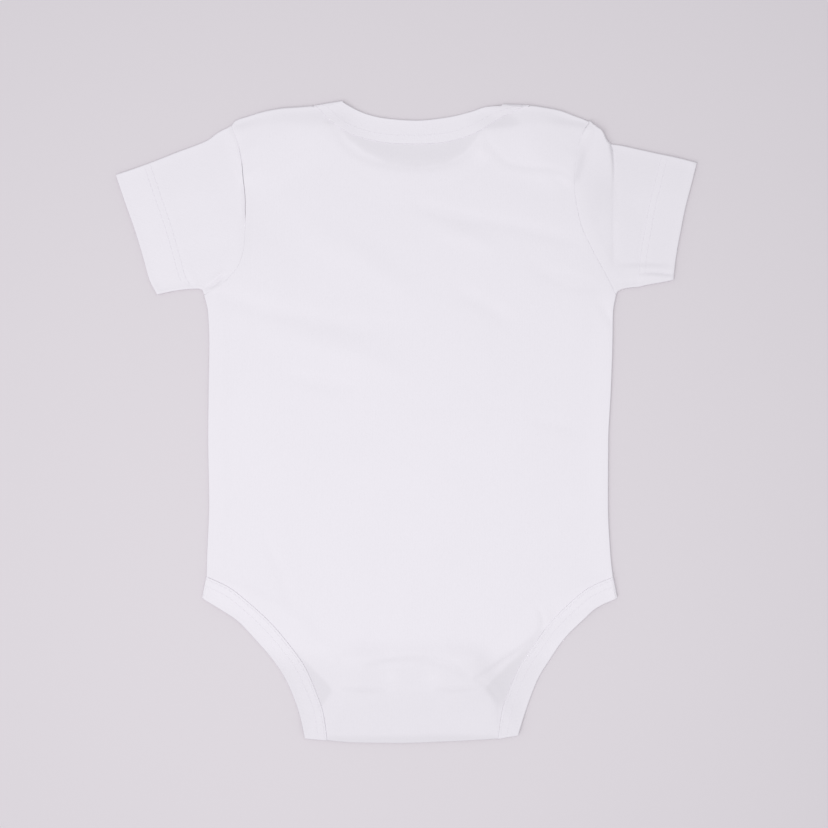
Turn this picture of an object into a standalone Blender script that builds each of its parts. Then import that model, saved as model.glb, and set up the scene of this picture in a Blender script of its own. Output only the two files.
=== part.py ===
"""Baby bodysuit (onesie) laid flat on its front, back side up: short sleeves, lapped
envelope shoulders, bound neck and leg openings, and a crotch that closes with three snaps.

Frame: +Y towards the neck, +X to the wearer's right, +Z up from the surface it lies on.
Lengths in the tables are millimetres; meshes are built in metres.
"""

import math

import bmesh
import bpy
import numpy as np

NAME = "baby_bodysuit"
MM = 0.001

# ---- driving dimensions (mm) -------------------------------------------------------
WALL = 1.0            # cloth wall of every panel and binding
LAYER_GAP = 0.35      # air between two layers that lie on each other
SEAM_GAP = 0.3        # gap between two pieces that are sewn together
STEP = WALL + LAYER_GAP
FLAP_STEP = STEP + 0.4  # the flap springs a little at the crotch fold
CROTCH_INSET = WALL / 2 + FLAP_STEP / 2
BINDING_WIDTH = 12.0  # neck and leg bindings, finished
SNAP_RADIUS = 4.8
SNAP_CAP = 0.7        # cap on the outer side of the front tab
SNAP_CORE = 1.2       # socket and stud, pressed together between the two layers
SNAP_Y = -134.5
SNAPS = (("left", -18.2), ("middle", 3.4), ("right", 24.9))

COLOURS = {
    "cloth": (0.835, 0.825, 0.865),
    "rib": (0.845, 0.835, 0.875),
    "snap": (0.80, 0.81, 0.84),
}


def table(columns, *rows):
    """A table with named columns, as arrays."""
    data = np.array(rows, dtype=float)
    return {name: data[:, i] for i, name in enumerate(columns.split())}


# Side seams, front and back alike: the height of a section and its two ends.
SIDES = table(
    "y left right",
    (-81.8, -105.9, 109.5),
    (-68.8, -105.6, 108.2),
    (-43.3, -104.6, 107.0),
    (-9.4, -105.1, 107.2),
    (16.0, -104.9, 108.5),
    (41.5, -104.5, 109.4),
    (58.4, -105.2, 109.7),
    (67.4, -107.2, 111.2),
)
# Armhole seams, from the underarm (0) to the shoulder point (1).
ARMHOLES = table(
    "rise left left_y right right_y",
    (0.00, -107.2, 67.4, 111.2, 67.4),
    (0.08, -101.9, 70.6, 107.5, 75.4),
    (0.18, -94.5, 76.5, 102.7, 84.4),
    (0.29, -88.6, 84.4, 97.4, 94.5),
    (0.40, -86.0, 95.0, 93.1, 104.0),
    (0.51, -85.5, 106.1, 90.8, 113.6),
    (0.62, -85.5, 117.3, 89.4, 123.1),
    (0.73, -86.3, 127.9, 89.2, 132.6),
    (0.83, -87.1, 137.9, 90.2, 143.2),
    (0.92, -89.2, 148.0, 92.9, 152.2),
    (1.00, -92.6, 157.3, 97.4, 159.2),
)
# Leg openings. Each row: the free edge of the binding, then its seam with the panel.
BACK_LEGS = table(
    "edge_lx edge_ly seam_lx seam_ly edge_rx edge_ry seam_rx seam_ry",
    (-108.3, -93.1, -105.9, -81.8, 112.0, -93.1, 109.5, -82.0),
    (-98.2, -99.5, -93.9, -87.6, 101.1, -98.4, 96.9, -87.8),
    (-90.2, -104.8, -84.4, -95.0, 94.0, -104.8, 87.3, -95.5),
    (-80.2, -115.4, -71.7, -106.9, 83.6, -115.7, 75.7, -107.5),
    (-71.2, -126.0, -61.6, -119.1, 76.7, -126.0, 67.4, -119.4),
    (-64.3, -136.6, -53.9, -130.2, 70.4, -136.6, 60.0, -131.0),
    (-59.5, -147.2, -48.4, -142.4, 65.9, -147.2, 54.7, -143.0),
    (-56.3, -156.7, -44.1, -154.1, 62.7, -156.2, 51.0, -153.3),
    (-53.9, -167.1, -42.0, -168.1, 59.5, -166.0, 48.6, -167.9),
)
FRONT_LEGS = table(
    "edge_lx edge_ly seam_lx seam_ly edge_rx edge_ry seam_rx seam_ry",
    (-108.3, -93.1, -105.9, -81.8, 112.0, -93.1, 109.5, -82.0),
    (-95.5, -97.7, -91.8, -86.5, 97.4, -97.7, 93.7, -86.5),
    (-83.3, -102.2, -78.3, -91.8, 85.2, -102.2, 80.2, -91.8),
    (-71.7, -108.5, -64.8, -99.2, 73.5, -108.5, 66.6, -99.2),
    (-63.7, -115.9, -55.3, -108.0, 65.6, -115.9, 57.1, -108.0),
    (-56.3, -123.4, -47.8, -115.4, 58.2, -123.4, 49.7, -115.4),
    (-49.4, -130.5, -39.4, -124.4, 51.3, -130.5, 41.2, -124.4),
    (-42.5, -136.6, -31.4, -132.9, 44.4, -136.6, 33.3, -132.9),
    (-37.8, -142.4, -26.1, -142.4, 39.6, -142.4, 28.0, -142.4),
)
# The flap: the end of the back panel, folded under at the crotch.
FLAP = table(
    "edge_lx edge_ly seam_lx seam_ly edge_rx edge_ry seam_rx seam_ry",
    (-53.9, -167.1, -42.0, -168.1, 59.5, -166.0, 48.6, -167.9),
    (-49.4, -158.9, -37.8, -158.3, 54.5, -158.3, 42.8, -157.8),
    (-44.1, -150.4, -32.5, -148.3, 48.6, -149.9, 37.0, -147.7),
    (-38.3, -141.4, -26.6, -138.7, 41.2, -140.8, 29.5, -138.2),
    (-33.5, -124.9, -21.3, -124.9, 35.4, -124.9, 23.2, -124.9),
)
# Crotch fold of the back panel, from left to right.
CROTCH = table(
    "x y",
    (-54.2, -167.0),
    (-44.7, -168.1),
    (-27.7, -169.9),
    (-2.3, -170.25),
    (14.7, -169.7),
    (31.7, -168.9),
    (48.6, -167.6),
    (59.8, -165.6),
)
# Upper edge of the back panel: shoulder fold, neck seam, shoulder fold.
BACK_TOP = table(
    "x y",
    (-92.6, 157.3),
    (-90.2, 160.3),
    (-83.9, 162.4),
    (-76.5, 164.5),
    (-64.8, 166.6),
    (-56.3, 167.1),
    (-48.9, 167.6),
    (-40.4, 159.7),
    (-29.8, 153.3),
    (-19.2, 149.9),
    (-6.0, 148.1),
    (5.7, 147.8),
    (17.9, 148.5),
    (29.5, 150.9),
    (39.1, 154.6),
    (49.7, 161.3),
    (58.2, 165.5),
    (65.1, 167.9),
    (72.5, 167.0),
    (81.5, 165.4),
    (89.4, 162.6),
    (94.2, 160.8),
    (97.4, 159.2),
)
BACK_CROSSINGS = (-48.9, 65.1)     # where the back neck seam crosses the shoulder folds
# Upper edge of the front panel, which lies inside the back's shoulders.
FRONT_TOP = table(
    "x y",
    (-92.6, 153.6),
    (-86.0, 156.0),
    (-76.5, 157.8),
    (-64.8, 158.1),
    (-56.3, 157.3),
    (-51.0, 156.2),
    (-43.1, 147.5),
    (-32.5, 136.9),
    (-18.2, 128.1),
    (-6.0, 124.4),
    (5.7, 123.1),
    (17.9, 124.2),
    (29.5, 128.4),
    (39.1, 134.2),
    (48.1, 144.3),
    (54.5, 154.9),
    (61.3, 157.0),
    (68.8, 157.8),
    (81.5, 157.8),
    (90.0, 156.6),
    (97.4, 155.0),
)
FRONT_CROSSINGS = (-51.0, 54.5)
# Lower edges of the laps (seam side), from the armhole to the crossing.
BACK_LAP_LEFT = table("x y", (-87.3, 141.6), (-78.0, 145.6), (-64.8, 153.3), (-55.3, 161.3), (-49.2, 166.3))
BACK_LAP_RIGHT = table("x y", (89.7, 141.6), (84.7, 145.6), (77.8, 152.8), (71.4, 160.2), (65.6, 166.3))
FRONT_LAP_LEFT = table("x y", (-87.1, 142.2), (-74.3, 147.2), (-61.1, 151.4), (-53.7, 154.4), (-51.3, 155.0))
FRONT_LAP_RIGHT = table("x y", (90.0, 140.3), (78.8, 145.1), (66.6, 148.0), (60.3, 152.2), (54.9, 153.8))
# Neck bindings from the left armhole to the right one: free edge, then seam; "side" is
# 0 on the lap and 1 on the main side of the shoulder fold.
BACK_NECK = table(
    "ex ey sx sy side",
    (-86.0, 129.5, -87.3, 141.6, 0),
    (-73.3, 134.8, -78.0, 145.6, 0),
    (-58.4, 144.3, -64.8, 153.3, 0),
    (-44.7, 156.5, -55.3, 161.3, 0),
    (-33.5, 170.3, -48.9, 167.9, 0),
    (-33.5, 170.3, -48.9, 167.9, 1),
    (-26.6, 165.9, -38.3, 158.1, 1),
    (-20.3, 163.4, -27.2, 152.2, 1),
    (-10.7, 161.3, -15.0, 149.1, 1),
    (5.2, 160.2, 5.2, 147.8, 1),
    (21.1, 161.8, 23.7, 149.3, 1),
    (33.8, 164.7, 37.5, 153.6, 1),
    (43.3, 167.5, 50.2, 161.6, 1),
    (50.7, 168.6, 65.1, 168.2, 1),
    (50.7, 168.6, 65.1, 168.2, 0),
    (60.8, 157.0, 71.4, 160.2, 0),
    (71.4, 146.4, 77.8, 152.8, 0),
    (80.5, 135.8, 84.7, 145.6, 0),
    (87.5, 129.5, 89.7, 141.6, 0),
)
FRONT_NECK = table(
    "ex ey sx sy side",
    (-86.0, 130.5, -87.1, 142.2, 0),
    (-70.1, 136.9, -74.3, 147.2, 0),
    (-55.3, 143.8, -61.1, 151.4, 0),
    (-44.1, 149.7, -53.7, 154.4, 0),
    (-36.7, 157.0, -51.0, 156.4, 0),
    (-36.7, 157.0, -51.0, 156.4, 1),
    (-30.3, 149.6, -42.0, 146.4, 1),
    (-21.9, 143.0, -31.9, 136.3, 1),
    (-9.7, 137.1, -15.5, 126.8, 1),
    (5.7, 135.3, 5.7, 123.1, 1),
    (21.1, 136.9, 25.8, 126.4, 1),
    (31.7, 143.2, 40.7, 135.6, 1),
    (37.0, 149.6, 48.6, 145.4, 1),
    (40.1, 154.4, 54.5, 155.1, 1),
    (40.1, 154.4, 54.5, 155.1, 0),
    (48.1, 145.4, 60.3, 152.2, 0),
    (61.3, 138.0, 66.6, 148.0, 0),
    (76.2, 134.0, 78.8, 145.1, 0),
    (87.8, 128.4, 90.0, 140.3, 0),
)
# Sleeves: crown fold, underarm fold and cuff.
SLEEVE_LEFT = {
    "crown": table("x y", (-92.6, 157.3), (-99.8, 153.8), (-105.1, 149.9), (-110.4, 147.5),
                   (-121.0, 143.6), (-131.6, 139.4), (-142.2, 135.4), (-154.1, 131.3)),
    "under": table("x y", (-107.2, 67.4), (-108.8, 70.6), (-111.4, 71.0), (-117.8, 70.5),
                   (-124.2, 69.5), (-132.1, 67.7)),
    "cuff": table("x y", (-154.1, 131.3), (-149.5, 117.8), (-143.9, 101.9), (-139.1, 86.0),
                  (-136.1, 75.4), (-132.1, 67.7)),
}
SLEEVE_RIGHT = {
    "crown": table("x y", (97.4, 159.2), (101.1, 156.7), (104.3, 153.6), (106.4, 149.6),
                   (108.5, 147.8), (113.3, 147.0), (123.9, 144.7), (134.5, 142.4),
                   (145.1, 140.1), (154.1, 137.7)),
    "under": table("x y", (111.2, 67.4), (112.2, 69.3), (116.5, 71.1), (122.8, 71.8),
                   (129.2, 73.1), (135.5, 74.2), (141.6, 75.4)),
    "cuff": table("x y", (154.1, 137.7), (150.4, 123.1), (147.7, 112.5), (145.6, 101.9),
                  (143.6, 91.3), (142.1, 80.7), (141.6, 75.4)),
}
# Soft ridges of the upper layer: the two ends of the ridge, its height and its half width.
BACK_RIDGES = table(
    "x0 y0 x1 y1 height width",
    (-67.4, 46.8, -1.7, 25.6, 0.7, 9.0),
    (-45.2, 98.7, 0.4, 69.0, 0.7, 11.0),
    (19.5, 100.3, 45.5, 93.4, 0.6, 8.0),
    (70.0, 82.0, 98.0, 66.0, 0.6, 9.0),
)
# The tuck of the right sleeve cap, and the shallow folds at both underarms.
SLEEVE_RIDGES = table(
    "x0 y0 x1 y1 height width",
    (103.0, 146.0, 106.5, 112.0, 1.6, 6.0),
    (118.0, 82.0, 140.0, 80.0, 0.6, 4.0),
    (-112.0, 100.0, -136.0, 112.0, 0.6, 8.0),
)

# ---- grids ------------------------------------------------------------------------
LEG_ROWS = 10         # rows of a panel beside the leg openings
BODY_ROWS = 8         # rows along the side seams
TOP_ROWS = 9          # rows beside the armholes
LEFT_CELLS, NECK_CELLS, RIGHT_CELLS = 5, 10, 4
LAP_ROWS = 3
FLAP_ROWS = 7
FOLD_STEPS = 4        # steps of a half turn at a fold
SLEEVE_RINGS = 6
BINDING_CELLS = 2


# ---- curves and fields ----------------------------------------------------------------
def hermite(s, v, q):
    """Smooth curve through (s, v), without overshoot, read at q."""
    s, v, q = np.asarray(s, float), np.asarray(v, float), np.asarray(q, float)
    if s[0] > s[-1]:
        s, v = s[::-1], v[::-1]
    h = np.diff(s)
    d = np.diff(v) / h
    m = np.zeros_like(v)
    m[0], m[-1] = d[0], d[-1]
    for i in range(1, len(v) - 1):
        if d[i - 1] * d[i] > 0:
            a, b = 2 * h[i] + h[i - 1], h[i] + 2 * h[i - 1]
            m[i] = (a + b) / (a / d[i - 1] + b / d[i])
    q = np.clip(q, s[0], s[-1])
    i = np.clip(np.searchsorted(s, q, side="right") - 1, 0, len(h) - 1)
    t = (q - s[i]) / h[i]
    return (
        v[i] * (1 + 2 * t) * (1 - t) ** 2
        + h[i] * m[i] * t * (1 - t) ** 2
        + v[i + 1] * t * t * (3 - 2 * t)
        - h[i] * m[i + 1] * t * t * (1 - t)
    )


def along(x, y, q):
    """Points at the fractions q of the length of a smooth curve through (x, y)."""
    x, y = np.asarray(x, float), np.asarray(y, float)
    s = np.concatenate([[0], np.cumsum(np.hypot(np.diff(x), np.diff(y)))])
    q = np.asarray(q, float) * s[-1]
    return np.stack([hermite(s, x, q), hermite(s, y, q)], axis=-1)


def outside(outline, x, y):
    """Distance from (x, y) to the area inside a closed outline; 0 inside it."""
    p = np.stack([np.asarray(x, float), np.asarray(y, float)], axis=-1)
    near = np.full(p.shape[:-1], 1e9)
    inside = np.zeros(p.shape[:-1], bool)
    n = len(outline)
    for i in range(n):
        a, b = outline[i], outline[(i + 1) % n]
        e = b - a
        t = np.clip(((p - a) @ e) / max(e @ e, 1e-12), 0, 1)
        near = np.minimum(near, np.linalg.norm(p - a - t[..., None] * e, axis=-1))
        if a[1] != b[1]:
            cross = (p[..., 1] > min(a[1], b[1])) & (p[..., 1] <= max(a[1], b[1]))
            at = a[0] + (p[..., 1] - a[1]) * e[0] / e[1]
            inside ^= cross & (p[..., 0] < at)
    return np.where(inside, 0.0, near)


def fade(distance, near, far):
    """1 up to near, 0 from far on, smooth between."""
    t = np.clip((distance - near) / (far - near), 0, 1)
    return 1 - t * t * (3 - 2 * t)


def ridges(rows, x, y):
    """Height of the soft ridges of a table at (x, y)."""
    z = np.zeros(np.broadcast(x, y).shape)
    for x0, y0, x1, y1, height, width in zip(*(rows[k] for k in ("x0", "y0", "x1", "y1", "height", "width"))):
        e = np.array([x1 - x0, y1 - y0])
        t = ((x - x0) * e[0] + (y - y0) * e[1]) / (e @ e)
        c = np.clip(t, 0, 1)
        d = np.hypot(x - x0 - c * e[0], y - y0 - c * e[1])
        z = z + height * fade(d, 0, 2 * width) * np.sin(math.pi * np.clip(0.5 + (c - 0.5) * 0.8, 0, 1))
    return z


def pairs(rows, *columns):
    return np.stack([rows[c] for c in columns], axis=-1)


# Outlines of the layers that the upper ones rest on, each with its binding.
FRONT_AREA = np.concatenate([
    pairs(FRONT_LEGS, "edge_lx", "edge_ly")[::-1],
    pairs(SIDES, "left", "y"),
    pairs(ARMHOLES, "left", "left_y")[1:-1],
    pairs(FRONT_TOP, "x", "y")[:5],
    pairs(FRONT_NECK, "ex", "ey")[5:14],
    pairs(FRONT_TOP, "x", "y")[-5:],
    pairs(ARMHOLES, "right", "right_y")[1:-1][::-1],
    pairs(SIDES, "right", "y")[::-1],
    pairs(FRONT_LEGS, "edge_rx", "edge_ry"),
])
FLAP_AREA = np.concatenate([pairs(FLAP, "edge_lx", "edge_ly"), pairs(FLAP, "edge_rx", "edge_ry")[::-1]])
BACK_LAPS = (
    np.concatenate([pairs(BACK_TOP, "x", "y")[:7], pairs(BACK_NECK, "ex", "ey")[:5][::-1]]),
    np.concatenate([pairs(BACK_TOP, "x", "y")[-6:], pairs(BACK_NECK, "ex", "ey")[14:][::-1]]),
)
FRONT_LAPS = (
    np.concatenate([pairs(FRONT_TOP, "x", "y")[:6], pairs(FRONT_NECK, "ex", "ey")[:5][::-1]]),
    np.concatenate([pairs(FRONT_TOP, "x", "y")[-6:], pairs(FRONT_NECK, "ex", "ey")[14:][::-1]]),
)
SNAP_STRIP = np.array([
    (SNAPS[0][1] - SNAP_RADIUS, SNAP_Y - SNAP_RADIUS), (SNAPS[-1][1] + SNAP_RADIUS, SNAP_Y - SNAP_RADIUS),
    (SNAPS[-1][1] + SNAP_RADIUS, SNAP_Y + SNAP_RADIUS), (SNAPS[0][1] - SNAP_RADIUS, SNAP_Y + SNAP_RADIUS),
])
LAP_FADE = (8.0, 36.0)
FLAP_FADE = (7.0, 24.0)
FRONT_FADE = (8.0, 26.0)
SNAP_FADE = (2.0, 20.0)


def over_back_lap(x, y):
    return np.maximum(*(fade(outside(area, x, y), *LAP_FADE) for area in BACK_LAPS))


def over_front_lap(x, y):
    return np.maximum(*(fade(outside(area, x, y), *LAP_FADE) for area in FRONT_LAPS))


def over_front(x, y):
    return fade(outside(FRONT_AREA, x, y), *FRONT_FADE)


def over_flap(x, y):
    return fade(outside(FLAP_AREA, x, y), *FLAP_FADE)


def over_snaps(x, y):
    return fade(outside(SNAP_STRIP, x, y), *SNAP_FADE)


# Middle height of each layer of cloth, from the surface up.
def z_back_lap(x, y):
    return np.full(np.shape(x), WALL / 2)


def z_front(x, y):
    return WALL / 2 + STEP * over_back_lap(x, y) + (SNAP_CAP + LAYER_GAP) * over_snaps(x, y)


def z_front_lap(x, y):
    return z_front(x, y) + STEP


def z_flap(x, y):
    return WALL / 2 + STEP * over_front(x, y) + (SNAP_CAP + SNAP_CORE + 2 * LAYER_GAP) * over_snaps(x, y)


def z_back(x, y):
    return (
        WALL / 2
        + STEP * (over_front(x, y) + over_back_lap(x, y) + over_front_lap(x, y))
        + FLAP_STEP * over_flap(x, y)
        + (SNAP_CAP + SNAP_CORE + 2 * LAYER_GAP) * over_snaps(x, y)
    )


def z_back_panel(x, y):
    return z_back(x, y) + ridges(BACK_RIDGES, x, y)


# ---- building ------------------------------------------------------------------------
for old in list(bpy.data.objects):
    bpy.data.objects.remove(old, do_unlink=True)

collection = bpy.data.collections.new(NAME)
bpy.context.scene.collection.children.link(collection)
root = bpy.data.objects.new(NAME, None)
collection.objects.link(root)


def material(name, colour, roughness, metallic=0.0):
    m = bpy.data.materials.new(name)
    m.use_nodes = True
    bsdf = m.node_tree.nodes["Principled BSDF"]
    bsdf.inputs["Base Color"].default_value = (*colour, 1.0)
    bsdf.inputs["Roughness"].default_value = roughness
    bsdf.inputs["Metallic"].default_value = metallic
    return m


def place(name, mesh, colour, roughness=0.9):
    obj = bpy.data.objects.new(name, mesh)
    obj.data.materials.append(material(name, COLOURS[colour], roughness))
    collection.objects.link(obj)
    obj.parent = root
    return obj


def cloth(name, patches, colour="cloth"):
    """A wall of cloth on a surface made of grids of points (rows, columns, xyz in mm) that
    share their border points; a grid marked round closes on its first column."""
    bm = bmesh.new()
    for grid, closed in patches:
        verts = [[bm.verts.new(point * MM) for point in row] for row in grid]
        width = len(verts[0])
        for lower, upper in zip(verts, verts[1:]):
            for i in range(width if closed else width - 1):
                k = (i + 1) % width
                bm.faces.new((lower[i], lower[k], upper[k], upper[i]))
    bmesh.ops.remove_doubles(bm, verts=bm.verts[:], dist=2e-6)
    bmesh.ops.recalc_face_normals(bm, faces=bm.faces[:])
    mesh = bpy.data.meshes.new(name)
    bm.to_mesh(mesh)
    bm.free()
    obj = place(name, mesh, colour)
    wall = obj.modifiers.new("wall", "SOLIDIFY")
    wall.thickness = WALL * MM
    wall.offset = 0.0
    wall.use_even_offset = True
    wall.use_quality_normals = True
    return obj


def turned(name, profile, x, y, colour):
    """A turned piece: (radius, height) from the top centre down its outer side."""
    mesh = bpy.data.meshes.new(name)
    mesh.from_pydata([(r * MM, 0, z * MM) for r, z in profile], [(i, i + 1) for i in range(len(profile) - 1)], [])
    obj = place(name, mesh, colour, 0.45)
    obj.location = (x * MM, y * MM, 0)
    screw = obj.modifiers.new("turn", "SCREW")
    screw.axis = "Z"
    screw.steps = screw.render_steps = 14
    screw.use_merge_vertices = True
    screw.merge_threshold = 1e-5
    return obj


def columns(crossings, top):
    """Fractions of the width for the columns: the crossings fall on columns."""
    left, right = top["x"][0], top["x"][-1]
    a, b = ((c - left) / (right - left) for c in crossings)
    return np.concatenate([
        np.linspace(0, a, LEFT_CELLS + 1),
        np.linspace(a, b, NECK_CELLS + 1)[1:],
        np.linspace(b, 1, RIGHT_CELLS + 1)[1:],
    ])


BODY_COLUMNS = columns(BACK_CROSSINGS, BACK_TOP)


def binding_line(rows, side, q, start=0, stop=None):
    """Points of a seam at the fractions q of its length, and the reach from the seam to the
    free edge of its binding; side is "l" or "r"."""
    part = slice(start, stop)
    seam = along(rows[f"seam_{side}x"][part], rows[f"seam_{side}y"][part], q)
    edge = along(rows[f"edge_{side}x"][part], rows[f"edge_{side}y"][part], q)
    return seam, edge - seam


def pulled_back(seam, reach):
    """The panel's border: half a seam gap short of the seam."""
    return seam - reach / np.linalg.norm(reach, axis=-1)[..., None] * SEAM_GAP / 2


def across(left, right, w):
    """A row of points from left to right at the fractions w."""
    return left + (right - left) * w[:, None]


def panel_plan(legs, bottom, top, crossings, inset):
    """Plan of a panel (rows, columns, xy) from its lower end to its upper edge."""
    rows = []
    half = SEAM_GAP / 2
    # beside the leg openings, rows spread evenly along the seams
    q = np.linspace(1, 0, LEG_ROWS + 1)
    left = pulled_back(*binding_line(legs, "l", q))
    right = pulled_back(*binding_line(legs, "r", q))
    for i in range(LEG_ROWS + 1):
        row = across(left[i], right[i], BODY_COLUMNS)
        if bottom is not None:
            sag = hermite(bottom["x"], bottom["y"], row[:, 0]) - across(left[0], right[0], BODY_COLUMNS)[:, 1]
            row[:, 1] += (sag + CROTCH_INSET) * (1 - i / LEG_ROWS) ** 2
        rows.append(row)
    # along the side seams
    y_low, y_high = SIDES["y"][0], SIDES["y"][-1]
    for y in np.linspace(y_low, y_high, BODY_ROWS + 1)[1:-1]:
        left_x, right_x = hermite(SIDES["y"], SIDES["left"], y), hermite(SIDES["y"], SIDES["right"], y)
        rows.append(across(np.array([left_x, y]), np.array([right_x, y]), BODY_COLUMNS))
    # beside the armholes, up to the shoulders and the neck
    own = columns(crossings, top)
    x_top = top["x"][0] + half + (top["x"][-1] - top["x"][0] - 2 * half) * own
    y_top = hermite(top["x"], top["y"], x_top) - inset
    chord = top["y"][0] + (top["y"][-1] - top["y"][0]) * own
    for t in np.linspace(0, 1, TOP_ROWS + 1):
        hole = {k: float(hermite(ARMHOLES["rise"], ARMHOLES[k], t)) for k in ("left", "left_y", "right", "right_y")}
        w = BODY_COLUMNS * (1 - t) + own * t
        gap = half * min(1.0, t * 8)
        x = hole["left"] + gap + (hole["right"] - hole["left"] - 2 * gap) * w
        middle = y_high + (y_top - y_high) * t
        side = hole["left_y"] + (hole["right_y"] - hole["left_y"]) * w + (y_top - chord) * t ** 3
        edge = np.minimum(1, np.minimum(w, 1 - w) / 0.12)
        rows.append(np.stack([x, y_top if t == 1 else side * (1 - edge) + middle * edge], axis=-1))
    return np.array(rows)


def raised(plan, height):
    return np.concatenate([plan, height(plan[..., 0], plan[..., 1])[..., None]], axis=-1)


def half_turn(edge, low, towards):
    """A half turn from an edge (points, xyz) down to the height low of the layer below it;
    towards is the plan direction in which the fold looks."""
    radius, middle = (edge[:, 2] - low) / 2, (edge[:, 2] + low) / 2
    angle = np.linspace(0, math.pi, FOLD_STEPS + 1)[:, None]
    plan = edge[None, :, :2] + towards * (np.abs(radius) * np.sin(angle))[..., None]
    return np.concatenate([plan, (middle + radius * np.cos(angle))[..., None]], axis=-1)


def lap(fold, lap_edge, z_under, armhole):
    """The part of a panel beyond its shoulder fold: half turn, then down to the lap's edge,
    which meets the fold where the neck seam crosses it. Its first column keeps to the armhole."""
    turn = half_turn(fold, z_under(fold[:, 0], fold[:, 1]), np.array([0.0, 1.0]))
    start = turn[-1, :, :2]
    x, y = np.append(lap_edge["x"][:-1], start[-1, 0]), np.append(lap_edge["y"][:-1], start[-1, 1])
    low = along(x, y, np.linspace(0, 1, len(fold)))
    rows = list(turn)
    for f in np.linspace(0, 1, LAP_ROWS + 1)[1:]:
        plan = start * (1 - f) + low * f
        plan[0, 0] = np.interp(plan[0, 1], armhole[:, 1], armhole[:, 0])
        rows.append(raised(plan, z_under))
    return np.array(rows)


def ribbon(name, borders, reaches, heights):
    """A binding sewn to a border of a panel: each stretch has its border points (xyz), the
    reach to the free edge (xy) and the height of the free edge."""
    rows = []
    for border, reach, height in zip(borders, reaches, heights):
        for p, r, z in zip(border, reach, height):
            free = np.array([p[0] + r[0], p[1] + r[1], z])
            seam = p + np.append(r / np.linalg.norm(r) * (SEAM_GAP + 0.03), 0)
            rows.append([free + (seam - free) * f for f in np.linspace(0, 1, BINDING_CELLS + 1)])
    return cloth(name, [(np.array(rows), False)], "rib")


def neck_binding(name, rows, main, left, right, top, z_main, z_lap):
    """From the left armhole along the left lap, over the shoulder fold, round the neck, over
    the right shoulder fold and along the right lap."""
    n = main.shape[1]
    up = np.array([0.0, 1.0])
    inset = main[-1, LEFT_CELLS, 1] - float(hermite(top["x"], top["y"], main[-1, LEFT_CELLS, 0]))
    inset_right = main[-1, n - RIGHT_CELLS - 1, 1] - float(hermite(top["x"], top["y"], main[-1, n - RIGHT_CELLS - 1, 0]))
    lap_rows = [i for i in range(len(rows["side"])) if rows["side"][i] == 0]
    split = next(i for i in lap_rows if rows["ex"][i] > 0)
    first = slice(0, lap_rows.index(split))
    left_rows, right_rows = np.array(lap_rows)[first], np.array(lap_rows)[lap_rows.index(split):]
    main_rows = np.array([i for i in range(len(rows["side"])) if rows["side"][i] == 1])

    def edge_of(index, q, lower_first, lower_last):
        ex, ey = rows["ex"][index].copy(), rows["ey"][index].copy()
        ey[0] += lower_first
        ey[-1] += lower_last
        return along(ex, ey, q)

    def flat(border, index, q, z, lower_first=0.0, lower_last=0.0):
        free = edge_of(index, q, lower_first, lower_last)
        return border, free - border[:, :2], z(free[:, 0], free[:, 1])

    def over(border, free):
        """The half turn at a crossing; free is the plan point of the free edge at the fold."""
        high, low = float(z_main(*free)), float(z_lap(*free))
        angle = np.linspace(0, math.pi, len(border))
        plan = free + np.outer((high - low) / 2 * np.sin(angle), up)
        return border, plan - border[:, :2], (high + low) / 2 + (high - low) / 2 * np.cos(angle)

    stretches = []
    cells = LEFT_CELLS
    stretches.append(flat(left[-1, :cells], left_rows, np.linspace(0, 1, cells + 1)[:-1], z_lap, 0, inset))
    free_left = np.array([rows["ex"][main_rows[0]], rows["ey"][main_rows[0]] + inset])
    stretches.append(tuple(part[::-1] for part in over(left[: FOLD_STEPS + 1, -1], free_left)))
    top_row = main[-1, LEFT_CELLS + 1: n - RIGHT_CELLS - 1]
    sx, sy = rows["sx"][main_rows], rows["sy"][main_rows]
    length = np.concatenate([[0], np.cumsum(np.hypot(np.diff(sx), np.diff(sy)))])
    q = np.interp(top_row[:, 0], sx, length / length[-1])
    stretches.append(flat(top_row, main_rows, q, z_main, inset, inset_right))
    free_right = np.array([rows["ex"][main_rows[-1]], rows["ey"][main_rows[-1]] + inset_right])
    stretches.append(over(right[: FOLD_STEPS + 1, -1], free_right))
    cells = RIGHT_CELLS
    stretches.append(flat(right[-1, :cells][::-1], right_rows, np.linspace(0, 1, cells + 1)[1:], z_lap, inset_right, 0))
    return ribbon(name, *zip(*stretches))


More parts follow.
